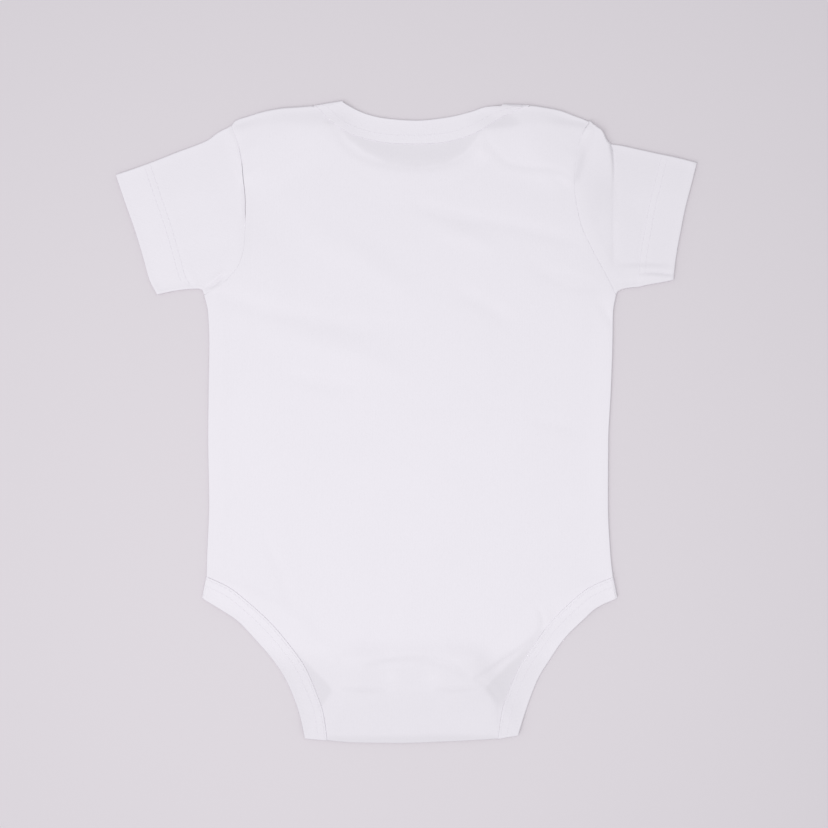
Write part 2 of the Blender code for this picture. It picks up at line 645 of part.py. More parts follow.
def leg_binding(name, side, front_main, back_main, turn, flap):
    """From the end of the front tab up the front leg, round the side, down the back leg, round
    the crotch fold and along the flap."""
    column = 0 if side == "l" else -1
    q = np.linspace(1, 0, LEG_ROWS + 1)
    stretches = []
    _, reach = binding_line(FRONT_LEGS, side, q)
    border = front_main[: LEG_ROWS + 1, column]
    free = border[:, :2] + reach
    stretches.append((border[:-1], reach[:-1], z_front(free[:-1, 0], free[:-1, 1])))
    # round the side: both edges stop short of it by the half turn and half a wall
    back = STEP / 2 + WALL / 2
    seam_way = border[-1, :2] - border[-2, :2]
    free_way = free[-1] - free[-2]
    seam_way, free_way = seam_way / np.linalg.norm(seam_way), free_way / np.linalg.norm(free_way)
    seam_at, free_at = border[-1, :2] - seam_way * back, free[-1] - free_way * back
    angle = np.linspace(0, math.pi, FOLD_STEPS + 1)
    points = []
    for at, way in ((seam_at, seam_way), (free_at, free_way)):
        low, high = float(z_front(*at)), float(z_back(*at))
        out = at + np.outer((high - low) / 2 * np.sin(angle), way)
        points.append((out, (high + low) / 2 - (high - low) / 2 * np.cos(angle)))
    seam_turn = np.column_stack([points[0][0], points[0][1]])
    stretches.append((seam_turn, points[1][0] - points[0][0], points[1][1]))
    _, reach = binding_line(BACK_LEGS, side, q)
    border = back_main[: LEG_ROWS + 1, column]
    free = border[:, :2] + reach
    stretches.append((border[1:-1][::-1], reach[1:-1][::-1], z_back(free[1:-1, 0], free[1:-1, 1])[::-1]))
    # round the crotch fold
    border = turn[:, column]
    base = border[0, :2] + reach[0]
    high, low = float(z_back(*base)), float(z_flap(*base))
    angle = np.linspace(0, math.pi, FOLD_STEPS + 1)
    out = base + np.outer((high - low) / 2 * np.sin(angle), np.array([0.0, -1.0]))
    stretches.append((border, out - border[:, :2], (high + low) / 2 + (high - low) / 2 * np.cos(angle)))
    border = flap[:, column]
    _, reach = binding_line(FLAP, side, np.linspace(0, 1, len(flap) + 1)[1:])
    free = border[:, :2] + reach
    stretches.append((border, reach, z_flap(free[:, 0], free[:, 1])))
    return ribbon(name, *zip(*stretches))


def make_back():
    n = len(BODY_COLUMNS)
    inset = np.zeros(n)
    x, y = (BACK_TOP[k][[3, -4]] for k in ("x", "y"))
    fold = float(np.mean(z_back(x, y) - z_back_lap(x, y)) / 2 + WALL / 2)
    inset[: LEFT_CELLS + 1] = inset[n - RIGHT_CELLS - 1:] = fold
    main = raised(panel_plan(BACK_LEGS, CROTCH, BACK_TOP, BACK_CROSSINGS, inset), z_back_panel)
    left = lap(main[-1, : LEFT_CELLS + 1], BACK_LAP_LEFT, z_back_lap, main[LEG_ROWS + BODY_ROWS:, 0])
    right = lap(main[-1, n - RIGHT_CELLS - 1:][::-1], BACK_LAP_RIGHT, z_back_lap, main[LEG_ROWS + BODY_ROWS:, -1])
    turn = half_turn(main[0], z_flap(main[0, :, 0], main[0, :, 1]), np.array([0.0, -1.0]))
    flap = []
    q = np.linspace(0, 1, FLAP_ROWS + 1)
    a = pulled_back(*binding_line(FLAP, "l", q))
    b = pulled_back(*binding_line(FLAP, "r", q))
    chord = across(a[0], b[0], BODY_COLUMNS)[:, 1]
    for i in range(1, FLAP_ROWS + 1):
        row = across(a[i], b[i], BODY_COLUMNS)
        row[:, 1] += (turn[-1, :, 1] - chord) * (1 - q[i])
        flap.append(raised(row, z_flap))
    flap = np.array(flap)
    cloth("back_panel", [(main, False), (left, False), (right, False), (np.concatenate([turn, flap]), False)])
    return main, left, right, turn, flap


def make_front():
    n = len(BODY_COLUMNS)
    inset = np.zeros(n)
    inset[: LEFT_CELLS + 1] = inset[n - RIGHT_CELLS - 1:] = STEP / 2 + WALL / 2
    main = raised(panel_plan(FRONT_LEGS, None, FRONT_TOP, FRONT_CROSSINGS, inset), z_front)
    left = lap(main[-1, : LEFT_CELLS + 1], FRONT_LAP_LEFT, z_front_lap, main[LEG_ROWS + BODY_ROWS:, 0])
    right = lap(main[-1, n - RIGHT_CELLS - 1:][::-1], FRONT_LAP_RIGHT, z_front_lap, main[LEG_ROWS + BODY_ROWS:, -1])
    cloth("front_panel", [(main, False), (left, False), (right, False)])
    return main, left, right


def make_sleeve(name, rows, side, armhole):
    """A flattened tube from the armhole to the cuff: each ring has the upper layer from the
    crown to the underarm, a half turn, the lower layer back, and the half turn of the crown.
    The first ring follows the border of the panels."""
    sign = -1.0 if side == "left" else 1.0
    hole = armhole[::-1, :2] + np.array([sign * (SEAM_GAP + 0.05), 0])
    v = np.concatenate([[0], np.cumsum(np.hypot(*np.diff(hole, axis=0).T))])
    v /= v[-1]
    u = np.linspace(0, 1, SLEEVE_RINGS + 1) ** 1.15
    cuff = along(rows["cuff"]["x"], rows["cuff"]["y"], v)
    crown = along(rows["crown"]["x"], rows["crown"]["y"], u)
    under = along(rows["under"]["x"], rows["under"]["y"], u)
    fold = np.append(0, np.full(SLEEVE_RINGS, 1.0))
    under[0] = hole[-1]
    crown[0] = hole[0]
    U, V = u[:, None, None], v[None, :, None]
    plan = (
        hole[None] * (1 - U) + cuff[None] * U + crown[:, None] * (1 - V) + under[:, None] * V
        - (hole[0] * (1 - U) * (1 - V) + cuff[0] * U * (1 - V) + hole[-1] * (1 - U) * V + cuff[-1] * U * V)
    )

    def layers(points):
        x, y = points[..., 0], points[..., 1]
        low = np.full(x.shape, WALL / 2)
        return low, WALL / 2 + STEP * (1 + over_back_lap(x, y) + over_front_lap(x, y)) + ridges(SLEEVE_RIDGES, x, y)

    # the two borders stop short by the half turn and half a wall, so the outside meets the outline
    low, high = layers(plan)
    ways = {}
    for border, inner in ((0, 1), (-1, -2)):
        way = plan[:, border] - plan[:, inner]
        way /= np.linalg.norm(way, axis=1)[:, None]
        ways[border] = way
        short = (high[:, border] - low[:, border]) / 2 + WALL / 2
        if border == 0:
            short = short * fold
        plan[:, border] = plan[:, border] - way * short[:, None]
    low, high = layers(plan)
    upper = np.concatenate([plan, high[..., None]], axis=-1)
    lower = np.concatenate([plan, low[..., None]], axis=-1)
    angle = np.linspace(0, math.pi, FOLD_STEPS + 1)[1:-1]
    rings = []
    for j in range(len(u)):
        arcs = {}
        for border in (0, -1):
            r, mid = (high[j, border] - low[j, border]) / 2, (high[j, border] + low[j, border]) / 2
            way = ways[border][j] if border == -1 or j else np.array([0.0, 1.0])
            arcs[border] = np.column_stack([plan[j, border] + np.outer(r * np.sin(angle), way), mid + r * np.cos(angle)])
        rings.append(np.concatenate([upper[j], arcs[-1], lower[j][::-1], arcs[0][::-1]]))
    return cloth(name, [(np.array(rings), True)])


back, back_left, back_right, crotch_turn, flap = make_back()
front, front_left, front_right = make_front()
make_sleeve("sleeve_left", SLEEVE_LEFT, "left", back[LEG_ROWS + BODY_ROWS:, 0])
make_sleeve("sleeve_right", SLEEVE_RIGHT, "right", back[LEG_ROWS + BODY_ROWS:, -1])
neck_binding("neck_binding_back", BACK_NECK, back, back_left, back_right, BACK_TOP, z_back, z_back_lap)
neck_binding("neck_binding_front", FRONT_NECK, front, front_left, front_right, FRONT_TOP, z_front, z_front_lap)
leg_binding("leg_binding_left", "l", front, back, crotch_turn, flap)
leg_binding("leg_binding_right", "r", front, back, crotch_turn, flap)
for label, x in SNAPS:
    base = SNAP_CAP + WALL + 2 * LAYER_GAP
    turned(f"snap_{label}_cap",
           ((0, SNAP_CAP), (SNAP_RADIUS - 0.3, SNAP_CAP), (SNAP_RADIUS, SNAP_CAP - 0.25), (SNAP_RADIUS, 0.25), (SNAP_RADIUS - 0.5, 0), (0, 0)),
           x, SNAP_Y, "snap")
    turned(f"snap_{label}_socket",
           ((0, base + SNAP_CORE), (SNAP_RADIUS - 0.7, base + SNAP_CORE), (SNAP_RADIUS - 0.3, base + SNAP_CORE - 0.3),
            (SNAP_RADIUS - 0.3, base + 0.3), (SNAP_RADIUS - 0.7, base), (0, base)),
           x, SNAP_Y, "snap")
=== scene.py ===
"""Looks of a plain white baby bodysuit that lies flat on a pale surface, back side up, seen
from straight above. Lengths below are millimetres; meshes are made in metres."""

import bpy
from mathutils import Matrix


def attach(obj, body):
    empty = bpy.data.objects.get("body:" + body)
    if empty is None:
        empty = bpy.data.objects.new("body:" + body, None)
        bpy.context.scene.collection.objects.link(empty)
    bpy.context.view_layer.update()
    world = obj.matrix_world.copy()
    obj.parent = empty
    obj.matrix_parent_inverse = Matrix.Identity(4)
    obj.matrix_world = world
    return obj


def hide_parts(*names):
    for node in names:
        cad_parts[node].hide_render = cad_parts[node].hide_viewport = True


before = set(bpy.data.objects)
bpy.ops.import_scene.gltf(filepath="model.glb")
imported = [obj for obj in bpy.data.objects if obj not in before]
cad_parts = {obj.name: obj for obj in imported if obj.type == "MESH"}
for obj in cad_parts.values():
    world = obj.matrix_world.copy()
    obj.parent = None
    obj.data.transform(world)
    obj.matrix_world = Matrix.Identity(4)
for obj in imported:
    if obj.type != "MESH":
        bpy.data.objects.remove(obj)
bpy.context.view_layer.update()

import math

import bpy
import numpy as np
from mathutils import Vector

MM = 0.001

# ---- sizes (mm) ------------------------------------------------------------------------
JERSEY = 0.62         # body cloth
RIB = 0.98            # folded rib of the bindings
AIR = 0.16            # between layers that lie on each other
SEAM_GAP = 0.045      # what stays open between two lips of a seam
LIP_SINK = 0.26       # how far a seam pulls its lips down
SNAP_RADIUS = 4.8
SNAP_CAP = 0.7
SNAP_CORE = 1.0
SNAP_Y = -134.5
SNAPS = (("left", -18.2), ("middle", 3.4), ("right", 24.9))
HEM = 20.0            # hem of the sleeves


def table(columns, *rows):
    """A table with named columns, as arrays."""
    data = np.array(rows, dtype=float)
    return {name: data[:, i] for i, name in enumerate(columns.split())}


# Side seams, front and back alike: the height of a section and its two ends.
SIDES = table(
    "y left right",
    (-81.8, -105.9, 109.5),
    (-68.8, -105.6, 108.2),
    (-43.3, -104.6, 107.0),
    (-9.4, -105.1, 107.2),
    (16.0, -104.9, 108.5),
    (41.5, -104.5, 109.4),
    (58.4, -105.2, 109.7),
    (67.4, -107.2, 111.2),
)
# Armhole seams, from the underarm (0) to the shoulder point (1).
ARMHOLES = table(
    "rise left left_y right right_y",
    (0.00, -107.2, 67.4, 111.2, 67.4),
    (0.08, -101.9, 70.6, 107.5, 75.4),
    (0.18, -94.5, 76.5, 102.7, 84.4),
    (0.29, -88.6, 84.4, 97.4, 94.5),
    (0.40, -86.0, 95.0, 93.1, 104.0),
    (0.51, -85.5, 106.1, 90.8, 113.6),
    (0.62, -85.5, 117.3, 89.4, 123.1),
    (0.73, -86.3, 127.9, 89.2, 132.6),
    (0.83, -87.1, 137.9, 90.2, 143.2),
    (0.92, -89.2, 148.0, 92.9, 152.2),
    (1.00, -92.6, 157.3, 97.4, 159.2),
)
# Leg openings. Each row: the free edge of the binding, then its seam with the panel.
BACK_LEGS = table(
    "edge_lx edge_ly seam_lx seam_ly edge_rx edge_ry seam_rx seam_ry",
    (-108.3, -93.1, -105.9, -81.8, 112.0, -93.1, 109.5, -82.0),
    (-98.2, -99.5, -93.9, -87.6, 101.1, -98.4, 96.9, -87.8),
    (-90.2, -104.8, -84.4, -95.0, 94.0, -104.8, 87.3, -95.5),
    (-80.2, -115.4, -71.7, -106.9, 83.6, -115.7, 75.7, -107.5),
    (-71.2, -126.0, -61.6, -119.1, 76.7, -126.0, 67.4, -119.4),
    (-64.3, -136.6, -53.9, -130.2, 70.4, -136.6, 60.0, -131.0),
    (-59.5, -147.2, -48.4, -142.4, 65.9, -147.2, 54.7, -143.0),
    (-56.3, -156.7, -44.1, -154.1, 62.7, -156.2, 51.0, -153.3),
    (-53.9, -167.1, -42.0, -168.1, 59.5, -166.0, 48.6, -167.9),
)
FRONT_LEGS = table(
    "edge_lx edge_ly seam_lx seam_ly edge_rx edge_ry seam_rx seam_ry",
    (-108.3, -93.1, -105.9, -81.8, 112.0, -93.1, 109.5, -82.0),
    (-95.5, -97.7, -91.8, -86.5, 97.4, -97.7, 93.7, -86.5),
    (-83.3, -102.2, -78.3, -91.8, 85.2, -102.2, 80.2, -91.8),
    (-71.7, -108.5, -64.8, -99.2, 73.5, -108.5, 66.6, -99.2),
    (-63.7, -115.9, -55.3, -108.0, 65.6, -115.9, 57.1, -108.0),
    (-56.3, -123.4, -47.8, -115.4, 58.2, -123.4, 49.7, -115.4),
    (-49.4, -130.5, -39.4, -124.4, 51.3, -130.5, 41.2, -124.4),
    (-42.5, -136.6, -31.4, -132.9, 44.4, -136.6, 33.3, -132.9),
    (-37.8, -142.4, -26.1, -142.4, 39.6, -142.4, 28.0, -142.4),
)
# The flap: the end of the back panel, folded under at the crotch.
FLAP = table(
    "edge_lx edge_ly seam_lx seam_ly edge_rx edge_ry seam_rx seam_ry",
    (-53.9, -167.1, -42.0, -168.1, 59.5, -166.0, 48.6, -167.9),
    (-49.4, -158.9, -37.8, -158.3, 54.5, -158.3, 42.8, -157.8),
    (-44.1, -150.4, -32.5, -148.3, 48.6, -149.9, 37.0, -147.7),
    (-38.3, -141.4, -26.6, -138.7, 41.2, -140.8, 29.5, -138.2),
    (-33.5, -124.9, -21.3, -124.9, 35.4, -124.9, 23.2, -124.9),
)
# Crotch fold of the back panel, from left to right.
CROTCH = table(
    "x y",
    (-54.2, -167.0),
    (-44.7, -168.1),
    (-27.7, -169.9),
    (-2.3, -170.25),
    (14.7, -169.7),
    (31.7, -168.9),
    (48.6, -167.6),
    (59.8, -165.6),
)
# Upper edge of the back panel: shoulder fold, neck seam, shoulder fold.
BACK_TOP = table(
    "x y",
    (-92.6, 157.3),
    (-90.2, 160.3),
    (-83.9, 162.4),
    (-76.5, 164.5),
    (-64.8, 166.6),
    (-56.3, 167.1),
    (-48.9, 167.6),
    (-40.4, 159.7),
    (-29.8, 153.3),
    (-19.2, 149.9),
    (-6.0, 148.1),
    (5.7, 147.8),
    (17.9, 148.5),
    (29.5, 150.9),
    (39.1, 154.6),
    (49.7, 161.3),
    (58.2, 165.5),
    (65.1, 167.9),
    (72.5, 167.0),
    (81.5, 165.4),
    (89.4, 162.6),
    (94.2, 160.8),
    (97.4, 159.2),
)
BACK_CROSSINGS = (-48.9, 65.1)     # where the back neck seam crosses the shoulder folds
# Upper edge of the front panel, which lies inside the back's shoulders.
FRONT_TOP = table(
    "x y",
    (-92.6, 153.6),
    (-86.0, 156.0),
    (-76.5, 157.8),
    (-64.8, 158.1),
    (-56.3, 157.3),
    (-51.0, 156.2),
    (-43.1, 147.5),
    (-32.5, 136.9),
    (-18.2, 128.1),
    (-6.0, 124.4),
    (5.7, 123.1),
    (17.9, 124.2),
    (29.5, 128.4),
    (39.1, 134.2),
    (48.1, 144.3),
    (54.5, 154.9),
    (61.3, 157.0),
    (68.8, 157.8),
    (81.5, 157.8),
    (90.0, 156.6),
    (97.4, 155.0),
)
FRONT_CROSSINGS = (-51.0, 54.5)
# Lower edges of the laps (seam side), from the armhole to the crossing.
BACK_LAP_LEFT = table("x y", (-87.3, 141.6), (-78.0, 145.6), (-64.8, 153.3), (-55.3, 161.3), (-49.2, 166.3))
BACK_LAP_RIGHT = table("x y", (89.7, 141.6), (84.7, 145.6), (77.8, 152.8), (71.4, 160.2), (65.6, 166.3))
FRONT_LAP_LEFT = table("x y", (-87.1, 142.2), (-74.3, 147.2), (-61.1, 151.4), (-53.7, 154.4), (-51.3, 155.0))
FRONT_LAP_RIGHT = table("x y", (90.0, 140.3), (78.8, 145.1), (66.6, 148.0), (60.3, 152.2), (54.9, 153.8))
# Neck bindings from the left armhole to the right one: free edge, then seam; "side" is
# 0 on the lap and 1 on the main side of the shoulder fold.
BACK_NECK = table(
    "ex ey sx sy side",
    (-86.0, 129.5, -87.3, 141.6, 0),
    (-73.3, 134.8, -78.0, 145.6, 0),
    (-58.4, 144.3, -64.8, 153.3, 0),
    (-44.7, 156.5, -55.3, 161.3, 0),
    (-33.5, 170.3, -48.9, 167.9, 0),
    (-33.5, 170.3, -48.9, 167.9, 1),
    (-26.6, 165.9, -38.3, 158.1, 1),
    (-20.3, 163.4, -27.2, 152.2, 1),
    (-10.7, 161.3, -15.0, 149.1, 1),
    (5.2, 160.2, 5.2, 147.8, 1),
    (21.1, 161.8, 23.7, 149.3, 1),
    (33.8, 164.7, 37.5, 153.6, 1),
    (43.3, 167.5, 50.2, 161.6, 1),
    (50.7, 168.6, 65.1, 168.2, 1),
    (50.7, 168.6, 65.1, 168.2, 0),
    (60.8, 157.0, 71.4, 160.2, 0),
    (71.4, 146.4, 77.8, 152.8, 0),
    (80.5, 135.8, 84.7, 145.6, 0),
    (87.5, 129.5, 89.7, 141.6, 0),
)
FRONT_NECK = table(
    "ex ey sx sy side",
    (-86.0, 130.5, -87.1, 142.2, 0),
    (-70.1, 136.9, -74.3, 147.2, 0),
    (-55.3, 143.8, -61.1, 151.4, 0),
    (-44.1, 149.7, -53.7, 154.4, 0),
    (-36.7, 157.0, -51.0, 156.4, 0),
    (-36.7, 157.0, -51.0, 156.4, 1),
    (-30.3, 149.6, -42.0, 146.4, 1),
    (-21.9, 143.0, -31.9, 136.3, 1),
    (-9.7, 137.1, -15.5, 126.8, 1),
    (5.7, 135.3, 5.7, 123.1, 1),
    (21.1, 136.9, 25.8, 126.4, 1),
    (31.7, 143.2, 40.7, 135.6, 1),
    (37.0, 149.6, 48.6, 145.4, 1),
    (40.1, 154.4, 54.5, 155.1, 1),
    (40.1, 154.4, 54.5, 155.1, 0),
    (48.1, 145.4, 60.3, 152.2, 0),
    (61.3, 138.0, 66.6, 148.0, 0),
    (76.2, 134.0, 78.8, 145.1, 0),
    (87.8, 128.4, 90.0, 140.3, 0),
)
# Sleeves: crown fold, underarm fold and cuff.
SLEEVE_LEFT = {
    "crown": table("x y", (-92.6, 157.3), (-99.8, 153.8), (-105.1, 149.9), (-110.4, 147.5),
                   (-121.0, 143.6), (-131.6, 139.4), (-142.2, 135.4), (-154.1, 131.3)),
    "under": table("x y", (-107.2, 67.4), (-108.8, 70.6), (-111.4, 71.0), (-117.8, 70.5),
                   (-124.2, 69.5), (-132.1, 67.7)),
    "cuff": table("x y", (-154.1, 131.3), (-149.5, 117.8), (-143.9, 101.9), (-139.1, 86.0),
                  (-136.1, 75.4), (-132.1, 67.7)),
}
SLEEVE_RIGHT = {
    "crown": table("x y", (97.4, 159.2), (101.1, 156.7), (104.3, 153.6), (106.4, 149.6),
                   (108.5, 147.8), (113.3, 147.0), (123.9, 144.7), (134.5, 142.4),
                   (145.1, 140.1), (154.1, 137.7)),
    "under": table("x y", (111.2, 67.4), (112.2, 69.3), (116.5, 71.1), (122.8, 71.8),
                   (129.2, 73.1), (135.5, 74.2), (141.6, 75.4)),
    "cuff": table("x y", (154.1, 137.7), (150.4, 123.1), (147.7, 112.5), (145.6, 101.9),
                  (143.6, 91.3), (142.1, 80.7), (141.6, 75.4)),
}

# ---- curves and fields ----------------------------------------------------------------
def hermite(s, v, q):
    """Smooth curve through (s, v), without overshoot, read at q."""
    s, v, q = np.asarray(s, float), np.asarray(v, float), np.asarray(q, float)
    if s[0] > s[-1]:
        s, v = s[::-1], v[::-1]
    h = np.diff(s)
    d = np.diff(v) / h
    m = np.zeros_like(v)
    m[0], m[-1] = d[0], d[-1]
    for i in range(1, len(v) - 1):
        if d[i - 1] * d[i] > 0:
            a, b = 2 * h[i] + h[i - 1], h[i] + 2 * h[i - 1]
            m[i] = (a + b) / (a / d[i - 1] + b / d[i])
    q = np.clip(q, s[0], s[-1])
    i = np.clip(np.searchsorted(s, q, side="right") - 1, 0, len(h) - 1)
    t = (q - s[i]) / h[i]
    return (
        v[i] * (1 + 2 * t) * (1 - t) ** 2
        + h[i] * m[i] * t * (1 - t) ** 2
        + v[i + 1] * t * t * (3 - 2 * t)
        - h[i] * m[i + 1] * t * t * (1 - t)
    )


def along(x, y, q):
    """Points at the fractions q of the length of a smooth curve through (x, y)."""
    x, y = np.asarray(x, float), np.asarray(y, float)
    s = np.concatenate([[0], np.cumsum(np.hypot(np.diff(x), np.diff(y)))])
    q = np.asarray(q, float) * s[-1]
    return np.stack([hermite(s, x, q), hermite(s, y, q)], axis=-1)


def outside(outline, x, y):
    """Distance from (x, y) to the area inside a closed outline; 0 inside it."""
    p = np.stack([np.asarray(x, float), np.asarray(y, float)], axis=-1)
    near = np.full(p.shape[:-1], 1e9)
    inside = np.zeros(p.shape[:-1], bool)
    n = len(outline)
    for i in range(n):
        a, b = outline[i], outline[(i + 1) % n]
        e = b - a
        t = np.clip(((p - a) @ e) / max(e @ e, 1e-12), 0, 1)
        near = np.minimum(near, np.linalg.norm(p - a - t[..., None] * e, axis=-1))
        if a[1] != b[1]:
            cross = (p[..., 1] > min(a[1], b[1])) & (p[..., 1] <= max(a[1], b[1]))
            at = a[0] + (p[..., 1] - a[1]) * e[0] / e[1]
            inside ^= cross & (p[..., 0] < at)
    return np.where(inside, 0.0, near)


def fade(distance, near, far):
    """1 up to near, 0 from far on, smooth between."""
    t = np.clip((distance - near) / (far - near), 0, 1)
    return 1 - t * t * (3 - 2 * t)


def pairs(rows, *columns):
    return np.stack([rows[c] for c in columns], axis=-1)


# Outlines of the layers that the upper ones rest on, each with its binding.
FRONT_AREA = np.concatenate([
    pairs(FRONT_LEGS, "edge_lx", "edge_ly")[::-1],
    pairs(SIDES, "left", "y"),
    pairs(ARMHOLES, "left", "left_y")[1:-1],
    pairs(FRONT_TOP, "x", "y")[:5],
    pairs(FRONT_NECK, "ex", "ey")[5:14],
    pairs(FRONT_TOP, "x", "y")[-5:],
    pairs(ARMHOLES, "right", "right_y")[1:-1][::-1],
    pairs(SIDES, "right", "y")[::-1],
    pairs(FRONT_LEGS, "edge_rx", "edge_ry"),
])
FLAP_AREA = np.concatenate([pairs(FLAP, "edge_lx", "edge_ly"), pairs(FLAP, "edge_rx", "edge_ry")[::-1]])
BACK_LAPS = (
    np.concatenate([pairs(BACK_TOP, "x", "y")[:7], pairs(BACK_NECK, "ex", "ey")[:5][::-1]]),
    np.concatenate([pairs(BACK_TOP, "x", "y")[-6:], pairs(BACK_NECK, "ex", "ey")[14:][::-1]]),
)
FRONT_LAPS = (
    np.concatenate([pairs(FRONT_TOP, "x", "y")[:6], pairs(FRONT_NECK, "ex", "ey")[:5][::-1]]),
    np.concatenate([pairs(FRONT_TOP, "x", "y")[-6:], pairs(FRONT_NECK, "ex", "ey")[14:][::-1]]),
)

# ---- how the layers lie on each other: a raster of support heights ------------------------
CELL = 0.5
XS = np.arange(-166.0, 166.0 + CELL / 2, CELL)
YS = np.arange(-182.0, 182.0 + CELL / 2, CELL)
GX, GY = np.meshgrid(XS, YS)


def stretch_of(low, high, axis):
    i = int(np.clip((low - axis[0]) / CELL, 0, len(axis) - 1))
    k = int(np.clip((high - axis[0]) / CELL + 1, i + 1, len(axis)))
    return slice(i, k)


def field(area, reach=0.0, value=lambda distance: (distance <= 0).astype(float)):
    """A raster that is value(distance) from an outline, worked out only near it."""
    out = np.zeros(GX.shape)
    low, high = area.min(0) - reach - 1, area.max(0) + reach + 1
    rows, cols = stretch_of(low[1], high[1], YS), stretch_of(low[0], high[0], XS)
    out[rows, cols] = value(outside(area, GX[rows, cols], GY[rows, cols]))
    return out


def blur_line(f, sigma, axis):
    n = max(1, int(3 * sigma / CELL))
    k = np.exp(-0.5 * (np.arange(-n, n + 1) * CELL / sigma) ** 2)
    k /= k.sum()
    pad = [(n, n) if a == axis else (0, 0) for a in (0, 1)]
    g = np.pad(f, pad, mode="edge")
    out = np.zeros_like(f)
    for i, w in enumerate(k):
        out += w * (g[i: i + f.shape[0]] if axis == 0 else g[:, i: i + f.shape[1]])
    return out


def soften(f, sigma):
    return blur_line(blur_line(f, sigma, 0), sigma, 1)


def swell(f, reach):
    """Highest value within reach, by small octagonal steps."""
    g = f.copy()
    for i in range(int(round(reach / CELL))):
        h = g.copy()
        h[1:] = np.maximum(h[1:], g[:-1])
        h[:-1] = np.maximum(h[:-1], g[1:])
        w = g if i % 2 else h
        h[:, 1:] = np.maximum(h[:, 1:], w[:, :-1])
        h[:, :-1] = np.maximum(h[:, :-1], w[:, 1:])
        g = h
    return g


def drape(f, reach=1.5, sigma=0.9):
    return soften(swell(f, reach), sigma)


def read(f, x, y):
    """Value of a raster at points, between its cells."""
    u = np.clip((np.asarray(x, float) - XS[0]) / CELL, 0, len(XS) - 1.001)
    v = np.clip((np.asarray(y, float) - YS[0]) / CELL, 0, len(YS) - 1.001)
    i, j = u.astype(int), v.astype(int)
    u, v = u - i, v - j
    return (f[j, i] * (1 - u) + f[j, i + 1] * u) * (1 - v) + (f[j + 1, i] * (1 - u) + f[j + 1, i + 1] * u) * v


def near_line(points, x, y):
    """Distance to a line of points, and how far along it (0 to 1) the nearest place is."""
    p = np.stack([x, y], axis=-1)
    length = np.concatenate([[0], np.cumsum(np.hypot(*np.diff(points, axis=0).T))])
    best, at = np.full(x.shape, 1e9), np.zeros(x.shape)
    for i in range(len(points) - 1):
        e = points[i + 1] - points[i]
        t = np.clip(((p - points[i]) @ e) / max(e @ e, 1e-9), 0, 1)
        d = np.linalg.norm(p - points[i] - t[..., None] * e, axis=-1)
        closer = d < best
        best = np.where(closer, d, best)
        at = np.where(closer, (length[i] + t * (length[i + 1] - length[i])) / length[-1], at)
    return best, at


def line_field(points, reach, value):
    """A raster that is value(distance, along) near a line of points."""
    out = np.zeros(GX.shape)
    low, high = points.min(0) - reach, points.max(0) + reach
    rows, cols = stretch_of(low[1], high[1], YS), stretch_of(low[0], high[0], XS)
    out[rows, cols] = value(*near_line(points, GX[rows, cols], GY[rows, cols]))
    return out


def smooth_line(*points, n=24):
    x, y = np.array(points, float).T
    return along(x, y, np.linspace(0, 1, n))


SIDE_LINES = [pairs(SIDES, name, "y") for name in ("left", "right")]
HOLE_LINES = [pairs(ARMHOLES, side, side + "_y") for side in ("left", "right")]
CUFF_LINES = [pairs(s["cuff"], "x", "y") for s in (SLEEVE_LEFT, SLEEVE_RIGHT)]
SLEEVE_AREAS = [
    np.concatenate([pairs(s["crown"], "x", "y"), pairs(s["cuff"], "x", "y")[::1 if side == "left" else 1],
                    pairs(s["under"], "x", "y")[::-1], pairs(ARMHOLES, side, side + "_y")])
    for s, side in ((SLEEVE_LEFT, "left"), (SLEEVE_RIGHT, "right"))
]


def band_of(rows, first, last, prefix=""):
    """Outline of a stretch of binding, from a table of its edge and seam."""
    if prefix:
        ex, ey, sx, sy = (f"edge_{prefix}x", f"edge_{prefix}y", f"seam_{prefix}x", f"seam_{prefix}y")
    else:
        ex, ey, sx, sy = "ex", "ey", "sx", "sy"
    part = slice(first, last)
    return np.concatenate([pairs(rows, ex, ey)[part], pairs(rows, sx, sy)[part][::-1]])


disc = lambda x: np.hypot(GX - x, GY - SNAP_Y) < SNAP_RADIUS
caps = sum(disc(x) for _, x in SNAPS) > 0
back_laps = np.maximum(field(BACK_LAPS[0]), field(BACK_LAPS[1]))
back_lap_bands = np.maximum(field(band_of(BACK_NECK, 0, 5)), field(band_of(BACK_NECK, 14, 19)))
front_area = field(FRONT_AREA)
front_bands = np.maximum.reduce([
    field(band_of(FRONT_NECK, 5, 14)), field(band_of(FRONT_LEGS, None, None, "l")), field(band_of(FRONT_LEGS, None, None, "r"))])
front_laps = np.maximum(field(FRONT_LAPS[0]), field(FRONT_LAPS[1]))
front_lap_bands = np.maximum(field(band_of(FRONT_NECK, 0, 5)), field(band_of(FRONT_NECK, 14, 19)))
flap_area = field(FLAP_AREA)
flap_bands = np.maximum(field(band_of(FLAP, None, None, "l")), field(band_of(FLAP, None, None, "r")))
sleeves = np.maximum(field(SLEEVE_AREAS[0]), field(SLEEVE_AREAS[1]))
# hems of the sleeves and seam allowances, which lie inside
hems = np.maximum(*(line_field(line, HEM + 4, lambda d, a: (d < HEM).astype(float)) for line in CUFF_LINES)) * sleeves
allowances = np.maximum(*(line_field(line, 12, lambda d, a: (d < 7.0).astype(float)) for line in SIDE_LINES)) * front_area
hole_strips = np.maximum(*(line_field(line, 9, lambda d, a: (d < 5.0).astype(float)) for line in HOLE_LINES)) * sleeves
tab_hem = front_area * (GY < -142.4 + 12) * (np.abs(GX) < 60)
flap_hem = flap_area * (GY > -124.9 - 12) * (np.abs(GX) < 60)

